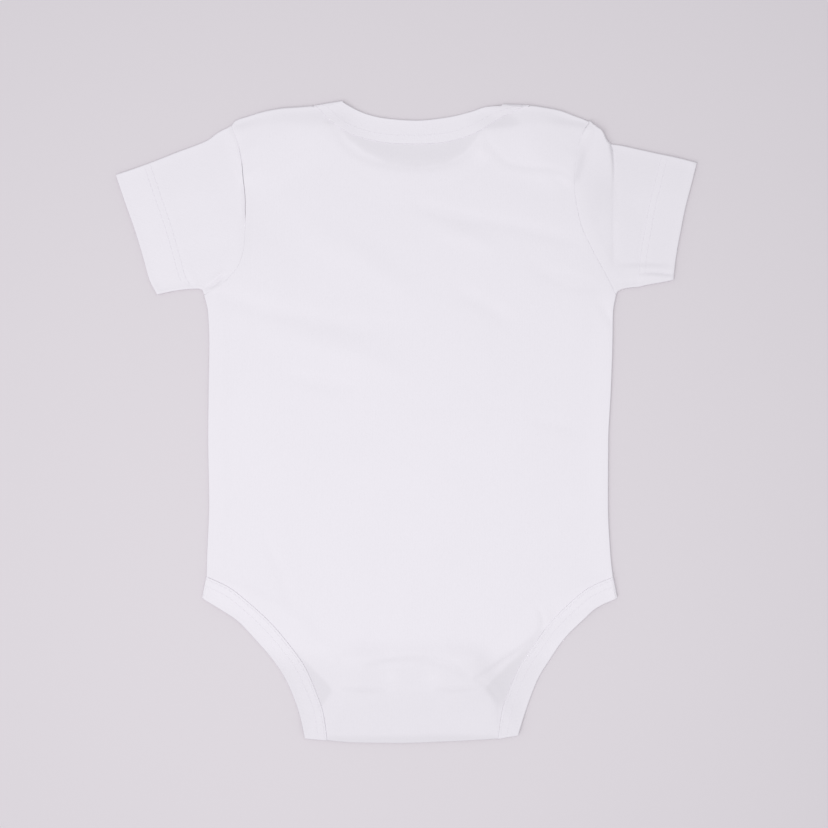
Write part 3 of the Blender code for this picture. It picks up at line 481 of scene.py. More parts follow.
EXTRA = RIB - JERSEY
pile = SNAP_CAP * caps
pile = np.maximum(pile, back_laps * (JERSEY + EXTRA * back_lap_bands))
S_FRONT = drape(pile)
pile = np.where(front_area > 0, S_FRONT + JERSEY + EXTRA * front_bands + 0.15 * JERSEY * tab_hem, pile)
S_FRONT_LAP = drape(pile) + AIR
pile = np.where(front_laps > 0, S_FRONT_LAP + JERSEY + EXTRA * front_lap_bands, pile)
pile = np.where(caps, soften(pile, 1.0) + SNAP_CORE, pile)
S_FLAP = drape(pile, 6.0, 2.4) * (flap_area > 0) + drape(pile) * (flap_area <= 0) + AIR * 0.5
pile = np.where(flap_area > 0, S_FLAP + JERSEY + EXTRA * flap_bands + 0.1 * JERSEY * flap_hem, pile)
pile = pile + 0.35 * allowances
sleeve_pile = (JERSEY + 0.5 * JERSEY * hems + 0.15 * hole_strips) * sleeves
pile = np.maximum(pile, sleeve_pile)
# the top layer bridges the steps below it at the shoulders and the crotch
BRIDGE = np.maximum((1 - fade(GY, 88, 104)) * fade(np.abs(GX), 72, 88), fade(GY, -108, -92))
S_TOP = drape(pile, 1.5, 1.5) * (1 - BRIDGE) + drape(pile, 5.0, 3.5) * BRIDGE + AIR * soften(np.clip(pile, 0, 1), 4.0)
LAYERS = soften(
    back_laps + front_area + front_laps + flap_area + sleeves + 0.8 * front_bands * front_area + 0.6 * flap_bands
    + 0.8 * hems + 0.8 * allowances + 0.6 * hole_strips + 0.5 * tab_hem + 0.5 * flap_hem, 0.8)

neck_line = smooth_line((-38.8, 156.5), (-34.6, 149.6), (-28.8, 143.8), (-19.2, 139.0), (-3.3, 135.8), (12.6, 135.3), (25.8, 137.9), (33.8, 143.2), (38.0, 148.0))
# painted shade and painted highlights: darker along creases, grooves and edges felt through from below, lighter on the
# ridges between them: change, half width, line
PAINTED_SHADING_LINES = (
    (-0.045, 0.80, ((69.3, -98.5), (71.4, -103.5), (71.9, -107.0), (68.2, -113.2), (58.2, -121.5), (51.3, -126.0), (44.4, -130.8), (36.4, -135.0))),
    (-0.030, 1.10, ((-19.5, -127.5), (-8.0, -125.2), (2.0, -124.4), (14.0, -124.8), (24.0, -127.6), (30.5, -132.5))),
    (-0.032, 0.80, ((-33.0, -141.2), (-22.0, -141.6), (-11.0, -141.6))),
    (-0.032, 0.80, ((16.5, -141.6), (27.0, -141.6), (38.5, -140.8))),
    (-0.016, 1.20, ((37.0, -136.0), (41.5, -139.0), (46.5, -144.5), (49.0, -152.0), (49.6, -164.0))),
    (-0.026, 1.00, ((40.2, 154.0), (45.0, 145.0), (54.9, 136.4), (66.0, 134.4), (77.2, 133.6), (88.9, 128.4))),
    (0.018, 3.20, ((-6.5, -131.0), (-6.0, -137.5))),
    (0.018, 3.00, ((15.5, -132.0), (16.0, -137.5))),
    (-0.040, 0.65, ((124.0, 78.8), (132.0, 79.0), (142.5, 78.2))),
    (-0.016, 1.00, ((112.0, 83.4), (126.0, 83.8), (139.0, 83.4))),
    (-0.045, 0.75, ((-105.2, 71.3), (-101.5, 73.6), (-97.4, 77.6))),
    (-0.022, 4.50, ((104.0, 132.0), (103.5, 122.0), (102.0, 110.0))),
    (-0.014, 3.00, ((-85.0, 110.0), (-84.6, 98.0), (-86.0, 86.0))),
    (0.016, 0.90, ((109.8, 112.0), (109.9, 104.0), (109.7, 96.0))),
)
PAINTED_SHADING = sum(line_field(smooth_line(*points), 4 * width, lambda d, t, h=height, w=width: h * np.exp(-0.5 * (d / w) ** 2) * np.sin(math.pi * np.clip(0.08 + 0.84 * t, 0, 1)) ** 0.6) for height, width, points in PAINTED_SHADING_LINES)
# painted shade: darker along the front's neck edge under the back, towards the crotch, and over the right shoulder and
# sleeve
PAINTED_SHADING = PAINTED_SHADING + (-0.024 * line_field(neck_line, 6, lambda d, t: np.exp(-0.5 * (d / 1.3) ** 2) * np.sin(math.pi * np.clip(0.06 + 0.88 * t, 0, 1)) ** 0.5)
        - 0.044 * fade(GY, -134, -118) * (np.abs(GX) < 90) - 0.018 * (1 - fade(GX, 88, 104)) * (1 - fade(GY, 60, 80)) - 0.012 * (1 - fade(GY, 100, 150)) * (1 - fade(GX, 40, 90)))

# ---- creases that the cloth keeps on top ------------------------------------------------------
# Each row: ends of the crease, height (a trough is negative), half width, and how far it bows.
CREASES = table(
    "x0 y0 x1 y1 height width bow",
    (-97.1, 67.4, -50.5, 55.3, -0.55, 5.5, -1.5),
    (-50.5, 55.3, 0.4, 50.0, -0.50, 6.0, -2.0),
    (-67.4, 46.8, -1.7, 25.6, 0.60, 9.0, 2.0),
    (-62.7, 25.6, -27.7, 18.7, -0.45, 5.0, -1.0),
    (7.3, 114.6, 47.0, 106.6, -0.55, 5.0, -1.0),
    (47.0, 106.6, 87.3, 97.1, -0.45, 5.0, 0.0),
    (19.5, 100.3, 45.5, 93.4, 0.50, 6.0, 1.0),
    (69.8, 81.2, 102.7, 71.1, -0.50, 5.0, -1.0),
    (28.0, 69.0, 54.5, 53.7, -0.45, 5.0, 1.0),
    (66.6, 1.2, 89.0, -2.0, -0.35, 4.0, 0.0),
    (-45.2, 98.7, 0.4, 69.0, 0.55, 10.0, 2.0),
    (-87.0, 117.8, -55.2, 83.4, -0.50, 13.0, 4.0),
    (-74.9, -62.4, -61.6, -94.2, -0.45, 3.5, 1.0),
    (-50.4, -103.0, -46.0, -112.0, -0.40, 4.0, 1.0),
    (-33.0, -141.2, -11.0, -141.6, -0.55, 1.7, 0.0),
    (16.5, -141.6, 38.5, -140.8, -0.55, 1.7, 0.0),
    (-20.0, -127.5, 2.0, -124.6, -0.50, 2.4, 1.2),
    (2.0, -124.6, 34.0, -134.5, -0.55, 2.6, 2.6),
    (-6.5, -130.5, -6.0, -138.0, 0.40, 6.5, 0.0),
    (15.5, -131.5, 16.0, -138.0, 0.40, 6.0, 0.0),
    (-80.2, 142.2, -86.0, 132.4, -0.50, 2.2, 1.5),
    (102.7, 64.8, 109.6, 51.5, -0.50, 2.5, 0.0),
    (-40.0, -20.0, 30.0, -34.0, 0.35, 14.0, 3.0),
    (-20.0, -60.0, 60.0, -66.0, -0.30, 12.0, -3.0),
)
# Longer lines: the front's leg edge and the front's neck, felt through the back, and the tuck
# of the left cap.
CREASE_LINES = (
    (((69.3, -98.5), (71.4, -103.5), (71.9, -107.0), (68.2, -113.2), (58.2, -121.5), (51.3, -126.0), (44.4, -130.8), (36.4, -135.0)), -0.46, 0.85),
    (((72.5, -97.0), (74.8, -103.5), (75.2, -108.0), (71.0, -115.4), (60.2, -124.0), (53.0, -128.6)), 0.34, 1.5),
    (((37.0, -136.0), (41.5, -139.0), (46.5, -144.5), (49.6, -152.0), (50.2, -162.0)), -0.34, 1.1),
    (((-38.8, 156.5), (-34.6, 149.6), (-28.8, 143.8), (-19.2, 139.0), (-3.3, 135.8), (12.6, 135.3), (25.8, 137.9), (33.8, 143.2), (38.0, 148.0)), -0.30, 1.7),
    (((-92.5, 155.0), (-88.0, 148.0), (-86.5, 140.5), (-86.0, 133.0)), -0.30, 1.1),
    (((-86.0, 108.0), (-85.8, 100.0), (-87.0, 90.0), (-90.0, 80.0)), -0.30, 2.2),
    (((-105.2, 71.4), (-101.5, 73.6), (-97.4, 77.6)), -0.90, 0.8),
    (((-104.2, 73.6), (-100.8, 76.0), (-97.0, 80.0)), 0.42, 1.2),
    (((-103.0, 69.4), (-99.6, 71.6), (-96.0, 75.0)), 0.36, 1.2),
    (((40.2, 154.0), (45.0, 145.0), (54.9, 136.4), (66.0, 134.4), (77.2, 133.6), (88.9, 128.4)), -0.32, 1.4),
    (((36.0, 146.0), (39.0, 144.2), (42.5, 141.0)), 0.40, 2.0),
)
FOLD_LINE_Y = 7.5     # the faint line of the fold that the garment was stored with


def crease_field():
    out = np.zeros(GX.shape)
    for i in range(len(CREASES["x0"])):
        row = {k: v[i] for k, v in CREASES.items()}
        a, b = np.array([row["x0"], row["y0"]]), np.array([row["x1"], row["y1"]])
        side = np.array([a[1] - b[1], b[0] - a[0]]) / np.linalg.norm(b - a)
        line = smooth_line(a, (a + b) / 2 + side * row["bow"], b, n=12)
        out += line_field(line, 3 * row["width"], lambda d, t, row=row: row["height"] * np.exp(-0.5 * (d / (0.55 * row["width"])) ** 2) * np.sin(math.pi * np.clip(0.08 + 0.84 * t, 0, 1)) ** 0.7)
    for points, height, width in CREASE_LINES:
        out += line_field(smooth_line(*points, n=20), 4 * width, lambda d, t, h=height, w=width: h * np.exp(-0.5 * (d / w) ** 2) * np.sin(math.pi * np.clip(0.05 + 0.9 * t, 0, 1)) ** 0.6)
    fold = np.exp(-0.5 * ((GY - FOLD_LINE_Y - 0.6 * np.sin(GX / 23)) / 0.8) ** 2)
    out -= 0.10 * fold * (np.abs(GX) < 104) * (0.6 + 0.4 * np.sin(GX / 31 + 1.0))
    # the slow, uneven rise and fall of cloth that was only smoothed by hand
    slow = (np.sin(GX / 19 + GY / 47 + 0.6 * np.sin(GY / 37)) * np.sin(GY / 29 - GX / 83 + 1.7)
            + 0.6 * np.sin(GX / 11.3 - GY / 17.9 + 0.8) * np.sin(GY / 41 + 0.4))
    out += 0.13 * slow
    return out * 1.25


def tuck_field():
    """The tuck of the right sleeve cap: a fold that looks towards the cuff, crisp at the crown and soft lower down, and
    soft creases on both sleeves."""
    out = np.zeros(GX.shape)
    for side, points, crisp, depth in (
        (1, ((104.3, 155.5), (106.6, 149.6), (108.4, 141.7), (109.1, 131.1), (108.8, 102.0), (108.5, 72.0)), 0.36, 1.9),
    ):
        line = smooth_line(*points, n=40)
        rows, cols = stretch_of(60, 175, YS), stretch_of(80, 130, XS)
        x, y = GX[rows, cols], GY[rows, cols]
        d, t = near_line(line, x, y)
        at = np.interp(y, line[::-1, 1], line[::-1, 0])
        s = (x - at) * side
        strength = depth * fade(t, 0.10, crisp) + 0.30 * fade(t, 0.55, 1.0)
        cap = np.where(s < 0, fade(-s, 0.5, 15.0), fade(s, 0.0, 1.1))
        groove = -0.22 * np.exp(-0.5 * ((s - 1.0) / 0.55) ** 2) * fade(t, crisp, crisp + 0.12)
        valley = groove - 0.35 * np.exp(-0.5 * ((s - 1.5) / 1.6) ** 2) * (1 - fade(t, 0.2, 0.45)) * fade(t, 0.75, 1.0)
        out[rows, cols] += strength * cap + valley
    for points, height, width in (
        (((112.0, 79.5), (126.0, 81.2), (142.0, 81.0)), 0.60, 2.4),
        (((114.0, 84.0), (126.0, 84.2), (139.0, 83.6)), -0.32, 1.0),
        (((124.0, 78.9), (132.0, 79.2), (142.5, 78.3)), -0.75, 0.55),
        (((112.0, 76.2), (128.0, 77.0), (142.0, 76.4)), 0.35, 1.4),
        (((-96.0, 96.0), (-104.0, 92.0), (-116.0, 90.0)), -0.35, 4.0),
        (((-100.0, 128.0), (-118.0, 121.0), (-140.0, 118.0)), 0.35, 6.0),
        (((112.0, 116.0), (126.0, 112.0), (140.0, 113.0)), -0.30, 5.0),
    ):
        line = smooth_line(*points, n=12)
        out += line_field(line, 4 * width, lambda d, t, h=height, w=width: h * np.exp(-0.5 * (d / w) ** 2) * np.sin(math.pi * np.clip(0.06 + 0.88 * t, 0, 1)) ** 0.6)
    return out


on_cloth = soften(np.maximum(field(np.concatenate([pairs(BACK_LEGS, "seam_lx", "seam_ly")[::-1], pairs(SIDES, "left", "y"), pairs(ARMHOLES, "left", "left_y")[1:], pairs(BACK_TOP, "x", "y"), pairs(ARMHOLES, "right", "right_y")[::-1], pairs(SIDES, "right", "y")[::-1], pairs(BACK_LEGS, "seam_rx", "seam_ry")])), np.maximum(sleeves, field(band_of(BACK_NECK, 5, 14)))), 1.5)
CREASE = crease_field() * on_cloth + tuck_field() * sleeves
# nothing sinks into the layer below it
CREASE = np.maximum(CREASE, -0.85 * AIR - 0.30 * JERSEY - 0.9 * np.clip(S_TOP - swell(pile, 1.0), 0, 3))


outline = np.maximum.reduce([
    np.clip(on_cloth * 2, 0, 1) > 0.9, sleeves, front_area, field(band_of(BACK_LEGS, None, None, "l")), field(band_of(BACK_LEGS, None, None, "r"))])
# borders do not press on the surface: they stand off it a little, and come down further in
LIFT = 0.75 * (1 - np.clip(soften(outline.astype(float), 3.0) * 2 - 1, 0, 1)) ** 1.5


def z_back_lap(x, y):
    return 0.02 + JERSEY / 2 + read(LIFT, x, y)


def z_front(x, y):
    return read(S_FRONT, x, y) + JERSEY / 2 + 0.02 + read(LIFT, x, y)


def z_front_lap(x, y):
    return read(S_FRONT_LAP, x, y) + JERSEY / 2 + read(LIFT, x, y)


def z_flap(x, y):
    return read(S_FLAP, x, y) + JERSEY / 2 + 0.02 + read(LIFT, x, y)


def z_back(x, y):
    return read(S_TOP, x, y) + JERSEY / 2 + 0.02 + read(CREASE, x, y) + read(LIFT, x, y)


# ---- grids of the cloth -----------------------------------------------------------------------
RIM = (0.0, 0.08, 0.2, 0.4, 0.75, 1.3, 2.1)   # fine lines beside a border
LEG_ROWS, BODY_ROWS, TOP_ROWS = 100, 76, 82
LEFT_CELLS, NECK_CELLS, RIGHT_CELLS = 30, 84, 24
LAP_ROWS, FLAP_ROWS, FOLD_STEPS = 14, 24, 10
SLEEVE_RINGS = 96
BINDING_CELLS = 12


def steps(length, cells, low=False, high=False):
    """Fractions from 0 to 1 with fine steps at the ends that are borders."""
    rim = np.array(RIM) / length
    a = rim if low else np.array([0.0])
    b = 1 - rim[::-1] if high else np.array([1.0])
    inner = np.linspace(a[-1], b[0], cells + 1)[1:-1]
    return np.concatenate([a, inner, b])


def columns(crossings, top):
    left, right = top["x"][0], top["x"][-1]
    a, b = ((c - left) / (right - left) for c in crossings)
    width = right - left
    return np.concatenate([
        steps(a * width, LEFT_CELLS - len(RIM) + 1, low=True) * a,
        (a + (b - a) * np.linspace(0, 1, NECK_CELLS + 1))[1:],
        (b + (1 - b) * steps((1 - b) * width, RIGHT_CELLS - len(RIM) + 1, high=True))[1:],
    ])


BODY_COLUMNS = columns(BACK_CROSSINGS, BACK_TOP)
LEFT_AT = LEFT_CELLS
RIGHT_AT = len(BODY_COLUMNS) - 1 - RIGHT_CELLS


def lip_at(x, y):
    """How flush the lips of a seam lie: 0 rolls right down, 1 stays level."""
    x, y = np.broadcast_arrays(np.asarray(x, float), np.asarray(y, float))
    left, right = x < 0, x >= 0
    lip = np.full(x.shape, 1.0)                                       # neck seams
    lip = np.where((y < -80.0) & left, 0.78, lip)                      # left leg: a crisp line
    lip = np.where((y < -80.0) & right, 1.0, lip)                     # right leg: hardly a line
    lip = np.where((y >= -80.0) & (y < 66.0), 0.08, lip)               # side seams
    hole = (y >= 66.0) & (np.abs(x) > 83.0)
    lip = np.where(hole & left, 0.10 + 0.82 * fade(y, 96.0, 114.0), lip)
    lip = np.where(hole & right, 0.80, lip)
    return lip


def sink_at(x, y):
    x, y = np.broadcast_arrays(np.asarray(x, float), np.asarray(y, float))
    crisp = (x < 0) * (1 - fade(y, 104.0, 112.0)) * fade(y, 140.0, 150.0)      # the left cap pulls its seam down
    return LIP_SINK * (1.0 - lip_at(x, y)) + 0.30 * crisp


def binding_line(rows, side, q, start=0, stop=None):
    """Points of a seam at the fractions q of its length, and the reach from the seam to the
    free edge of its binding; side is "l" or "r"."""
    part = slice(start, stop)
    seam = along(rows[f"seam_{side}x"][part], rows[f"seam_{side}y"][part], q)
    edge = along(rows[f"edge_{side}x"][part], rows[f"edge_{side}y"][part], q)
    return seam, edge - seam


def pulled_back(seam, reach):
    return seam - reach / np.linalg.norm(reach, axis=-1)[..., None] * SEAM_GAP / 2


def across(left, right, w):
    return left + (right - left) * w[:, None]


def panel_plan(legs, bottom, top, crossings, inset, open_low):
    """Plan of a panel (rows, columns, xy), and the rows where the sides and the armholes start."""
    rows = []
    half = SEAM_GAP / 2
    q = 1 - steps(105.0, LEG_ROWS, low=open_low)
    left = pulled_back(*binding_line(legs, "l", q))
    right = pulled_back(*binding_line(legs, "r", q))
    for i in range(len(q)):
        row = across(left[i], right[i], BODY_COLUMNS)
        if bottom is not None:
            sag = hermite(bottom["x"], bottom["y"], row[:, 0]) - across(left[0], right[0], BODY_COLUMNS)[:, 1]
            row[:, 1] += (sag + CROTCH_INSET) * q[i] ** 2
        rows.append(row)
    side_from = len(rows) - 1
    y_low, y_high = SIDES["y"][0], SIDES["y"][-1]
    for y in np.linspace(y_low, y_high, BODY_ROWS + 1)[1:-1]:
        left_x, right_x = hermite(SIDES["y"], SIDES["left"], y), hermite(SIDES["y"], SIDES["right"], y)
        rows.append(across(np.array([left_x, y]), np.array([right_x, y]), BODY_COLUMNS))
    hole_from = len(rows)
    own = columns(crossings, top)
    x_top = top["x"][0] + half + (top["x"][-1] - top["x"][0] - 2 * half) * own
    y_top = hermite(top["x"], top["y"], x_top) - inset
    chord = top["y"][0] + (top["y"][-1] - top["y"][0]) * own
    for t in steps(85.0, TOP_ROWS, high=True):
        hole = {k: float(hermite(ARMHOLES["rise"], ARMHOLES[k], t)) for k in ("left", "left_y", "right", "right_y")}
        w = BODY_COLUMNS * (1 - t) + own * t
        gap = half * min(1.0, t * 8)
        x = hole["left"] + gap + (hole["right"] - hole["left"] - 2 * gap) * w
        middle = y_high + (y_top - y_high) * t
        side = hole["left_y"] + (hole["right_y"] - hole["left_y"]) * w + (y_top - chord) * t ** 3
        edge = np.minimum(1, np.minimum(w, 1 - w) / 0.12)
        edge = edge * edge * (3 - 2 * edge)
        rows.append(np.stack([x, y_top if t >= 1 - 1e-9 else side * (1 - edge) + middle * edge], axis=-1))
    return np.array(rows), side_from, hole_from


def raised(plan, height):
    return np.concatenate([plan, height(plan[..., 0], plan[..., 1])[..., None]], axis=-1)


def shaped(grid, side_from, hole_from, meet, sewn_top, sewn_low):
    """Bends the borders of a panel: down into its seams, and to the other panel at the sides."""
    left = np.linalg.norm(grid[:, :, :2] - grid[:, :1, :2], axis=-1)
    right = np.linalg.norm(grid[:, :, :2] - grid[:, -1:, :2], axis=-1)
    d = np.minimum(left, right)
    border = np.where((left < right)[..., None], grid[:, :1, :2], grid[:, -1:, :2])
    sunk = sink_at(border[..., 0], border[..., 1]) * fade(d, 0.0, 1.6)
    z = grid[..., 2].copy()
    rows = np.arange(len(grid))[:, None]
    side = (rows > side_from) & (rows < hole_from)
    near = np.clip(np.minimum(rows - side_from, hole_from - rows) / 6.0, 0, 1)
    z += np.where(side, meet * fade(d, 0.0, 2.6) * near, 0)
    z -= np.where(side, sunk * (1 - near), sunk) * (1.0 if meet < 0 else 0.6)
    down = np.linalg.norm(grid[:, :, :2] - grid[-1:, :, :2], axis=-1)
    z -= np.where(sewn_top[None, :], sink_at(0.0, 150.0) * fade(down, 0.0, 1.6), 0)
    out = grid.copy()
    out[..., 2] = z
    return out


def half_turn(edge, low, towards):
    radius, middle = (edge[:, 2] - low) / 2, (edge[:, 2] + low) / 2
    angle = np.linspace(0, math.pi, FOLD_STEPS + 1)[:, None]
    plan = edge[None, :, :2] + towards * (np.abs(radius) * np.sin(angle))[..., None]
    out = np.concatenate([plan, (middle + radius * np.cos(angle))[..., None]], axis=-1)
    out[0] = edge
    return out


def lap(fold, lap_edge, z_under, armhole, first):
    """The part of a panel beyond its shoulder fold; first is the column at the armhole."""
    turn = half_turn(fold, z_under(fold[:, 0], fold[:, 1]), np.array([0.0, 1.0]))
    start = turn[-1, :, :2]
    order = slice(None) if first == 0 else slice(None, None, -1)
    x = np.append(lap_edge["x"][:-1], start[order][-1, 0])
    y = np.append(lap_edge["y"][:-1], start[order][-1, 1])
    s = np.concatenate([[0], np.cumsum(np.hypot(*np.diff(start[order], axis=0).T))])
    low = along(x, y, s / s[-1])[order]
    rows = list(turn)
    for f in steps(25.0, LAP_ROWS, high=True)[1:]:
        plan = start * (1 - f) + low * f
        shift = np.interp(plan[first, 1], armhole[:, 1], armhole[:, 0]) - plan[first, 0]
        plan[:, 0] += shift * (1 - np.minimum(np.abs(plan[:, 0] - plan[first, 0]) / 12.0, 1))
        rows.append(raised(plan, z_under))
    return np.array(rows)


def run(points, along_rows=True, start=0.0, sign=1.0):
    """Running length of a grid down its rows."""
    d = np.linalg.norm(np.diff(points, axis=0), axis=-1)
    return start + sign * np.concatenate([np.zeros((1, points.shape[1])), np.cumsum(d, axis=0)])


# ---- meshes ---------------------------------------------------------------------------------
root = "root"
MATERIALS = {}


def mesh_object(name, verts, faces, uv, shade, slot, replaces=()):
    mesh = bpy.data.meshes.new(name)
    mesh.from_pydata((verts * MM).tolist(), [], faces)
    mesh.shade_smooth()
    if uv is not None:
        layer = mesh.uv_layers.new(name="weave")
        layer.data.foreach_set("uv", np.asarray(uv, np.float32).reshape(-1) * MM)
    if shade is not None:
        tone = mesh.attributes.new("tone", "FLOAT", "POINT")
        tone.data.foreach_set("value", np.asarray(shade, np.float32))
    obj = bpy.data.objects.new(name, mesh)
    bpy.context.scene.collection.objects.link(obj)
    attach(obj, root)
    if replaces:
        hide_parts(*replaces)
    obj.data.materials.append(MATERIALS[slot if slot in MATERIALS else "jersey"])
    return obj


def tone_of(count):
    """Cloth over more layers lets less of the darker surface through."""
    return np.interp(count, (0.0, 1.0, 2.0, 3.0, 4.0, 6.0), (0.930, 0.948, 0.998, 1.006, 1.008, 1.008))


def shell(name, patches, thickness, lip, count, slot, node):
    """A thin shell on a surface made of grids that share borders. Its borders are rounded lips.
    patches: (points (rows, columns, xyz), uv, closed). lip and count are functions of the points.
    Returns the object, and for each grid the points of its upper side and its normals."""
    points = np.concatenate([p.reshape(-1, 3) for p, _, _ in patches])
    uvs = np.concatenate([u.reshape(-1, 2) for _, u, _ in patches])
    quads, at = [], 0
    for p, _, closed in patches:
        rows, cols = p.shape[:2]
        index = np.arange(rows * cols).reshape(rows, cols) + at
        nxt = np.roll(index, -1, axis=1) if closed else index[:, 1:]
        cur = index if closed else index[:, :-1]
        quads.append(np.stack([cur[:-1], nxt[:-1], nxt[1:], cur[1:]], axis=-1).reshape(-1, 4))
        at += rows * cols
    quads = np.concatenate(quads)
    _, first, weld = np.unique(np.round(points / 2e-3).astype(np.int64), axis=0, return_index=True, return_inverse=True)
    weld = weld.reshape(-1)
    verts = points[first]
    q = weld[quads]
    whole = (q[:, 0] != q[:, 1]) & (q[:, 1] != q[:, 2]) & (q[:, 2] != q[:, 3]) & (q[:, 3] != q[:, 0]) & (q[:, 0] != q[:, 2]) & (q[:, 1] != q[:, 3])
    normal = np.cross(verts[q[:, 2]] - verts[q[:, 0]], verts[q[:, 3]] - verts[q[:, 1]])
    normals = np.zeros_like(verts)
    for k in range(4):
        np.add.at(normals, q[:, k], normal)
    normals /= np.maximum(np.linalg.norm(normals, axis=1), 1e-12)[:, None]
    polys, poly_uv = q[whole].tolist(), [row for row in uvs[quads[whole]]]
    for bad, src in zip(q[~whole], quads[~whole]):
        keep = [k for k in range(4) if bad[k] != bad[k - 1]]
        if len(set(bad[keep])) == 3 and len(keep) == 3:
            polys.append([int(bad[k]) for k in keep])
            poly_uv.append(uvs[src[keep]])
    # borders
    seen = {}
    for f, poly in enumerate(polys):
        for k in range(len(poly)):
            a, b = poly[k], poly[(k + 1) % len(poly)]
            key = (a, b) if a < b else (b, a)
            if key in seen:
                seen[key] = None
            else:
                seen[key] = (a, b, f, k)
    border = [v for v in seen.values() if v is not None]
    edges = np.array(list(seen.keys()))
    d = np.full(len(verts), 1e3)
    d[np.array([[a, b] for a, b, _, _ in border]).reshape(-1)] = 0.0
    lengths = np.linalg.norm(verts[edges[:, 0]] - verts[edges[:, 1]], axis=1)
    short = lengths < 1.2
    e, lengths = edges[short], lengths[short]
    for _ in range(8):
        np.minimum.at(d, e[:, 0], d[e[:, 1]] + lengths)
        np.minimum.at(d, e[:, 1], d[e[:, 0]] + lengths)
    radius = min(0.5, thickness / 2 * 1.2)
    round_off = np.sqrt(np.clip(1 - (1 - np.minimum(d / radius, 1)) ** 2, 0, 1))
    lips = np.clip(lip(verts), 0.06, 1.0)
    h = (thickness / 2) * (lips + (1 - lips) * round_off)
    up, down = verts + normals * h[:, None], verts - normals * h[:, None]
    up[:, 2], down[:, 2] = np.maximum(up[:, 2], 0.01), np.maximum(down[:, 2], 0.01)
    n = len(verts)
    faces = polys + [[v + n for v in reversed(poly)] for poly in polys]
    face_uv = poly_uv + [uv[::-1] for uv in poly_uv]
    for a, b, f, k in border:
        faces.append([b, a, a + n, b + n])
        ua, ub = poly_uv[f][k], poly_uv[f][(k + 1) % len(polys[f])]
        face_uv.append(np.array([ub, ua, ua, ub]))
    # tone: what the layers below let through, plus the painted shade and painted highlights of the shading raster
    tone = tone_of(count(verts)) + read(PAINTED_SHADING, verts[:, 0], verts[:, 1])
    obj = mesh_object(name, np.concatenate([up, down]), faces, np.concatenate([np.asarray(u) for u in face_uv]),
                      np.concatenate([tone, tone]), slot, (node,))
    out, at = [], 0
    for p, _, _ in patches:
        ids = weld[at: at + p.shape[0] * p.shape[1]].reshape(p.shape[:2])
        out.append((up[ids], normals[ids], down[ids]))
        at += p.shape[0] * p.shape[1]
    return obj, out


def threads(name, lines, pitch=2.9, length=2.65, radius=0.12, slot="rib", tone=0.985, cast=6, rings=6):
    """Rows of stitches: short threads that lie on the cloth and dip into it at both ends.
    lines: (points, normals) of a line on the upper side of the cloth."""
    all_verts, all_faces, at = [], [], 0
    for points, normals in lines:
        s = np.concatenate([[0], np.cumsum(np.linalg.norm(np.diff(points, axis=0), axis=1))])
        count = int((s[-1] - 1.0) / pitch)
        if count < 1:
            continue
        begin = 0.5 + pitch * np.arange(count)
        t = np.linspace(0, 1, rings)
        q = begin[:, None] + length * t[None]
        centre = np.stack([np.interp(q, s, points[:, k]) for k in range(3)], axis=-1)
        n = np.stack([np.interp(q, s, normals[:, k]) for k in range(3)], axis=-1)
        n /= np.linalg.norm(n, axis=-1)[..., None]
        tangent = np.gradient(centre, axis=1)
        tangent /= np.linalg.norm(tangent, axis=-1)[..., None]
        side = np.cross(tangent, n)
        lift = radius * (0.65 * np.sin(math.pi * t) ** 0.5 - 0.35)
        size = radius * np.clip(np.sin(math.pi * (0.06 + 0.88 * t)) ** 0.45, 0.25, 1)
        centre = centre + n * lift[None, :, None]
        a = np.linspace(0, 2 * math.pi, cast, endpoint=False)
        ring = (side[:, :, None] * np.cos(a)[None, None, :, None] + n[:, :, None] * np.sin(a)[None, None, :, None]) * size[None, :, None, None]
        verts = (centre[:, :, None] + ring).reshape(-1, 3)
        for i in range(count):
            base = at + i * rings * cast
            for j in range(rings - 1):
                for k in range(cast):
                    m = (k + 1) % cast
                    all_faces.append([base + j * cast + k, base + (j + 1) * cast + k, base + (j + 1) * cast + m, base + j * cast + m])
            all_faces.append([base + k for k in range(cast)])
            all_faces.append([base + (rings - 1) * cast + k for k in range(cast - 1, -1, -1)])
        all_verts.append(verts)
        at += len(verts)
    verts = np.concatenate(all_verts)
    verts[:, 2] = np.maximum(verts[:, 2], 0.005)
    return mesh_object(name, verts, all_faces, None, np.full(len(verts), tone), slot)


# ---- finishes ---------------------------------------------------------------------------------
def maths(tree, operation, a, b=None, c=None, clamp=False):
    made = tree.nodes.new("ShaderNodeMath")
    made.operation = operation
    made.use_clamp = clamp
    for i, value in enumerate((a, b, c)):
        if value is None:
            continue
        if isinstance(value, (int, float)):
            made.inputs[i].default_value = value
        else:
            tree.links.new(value, made.inputs[i])
    return made.outputs[0]


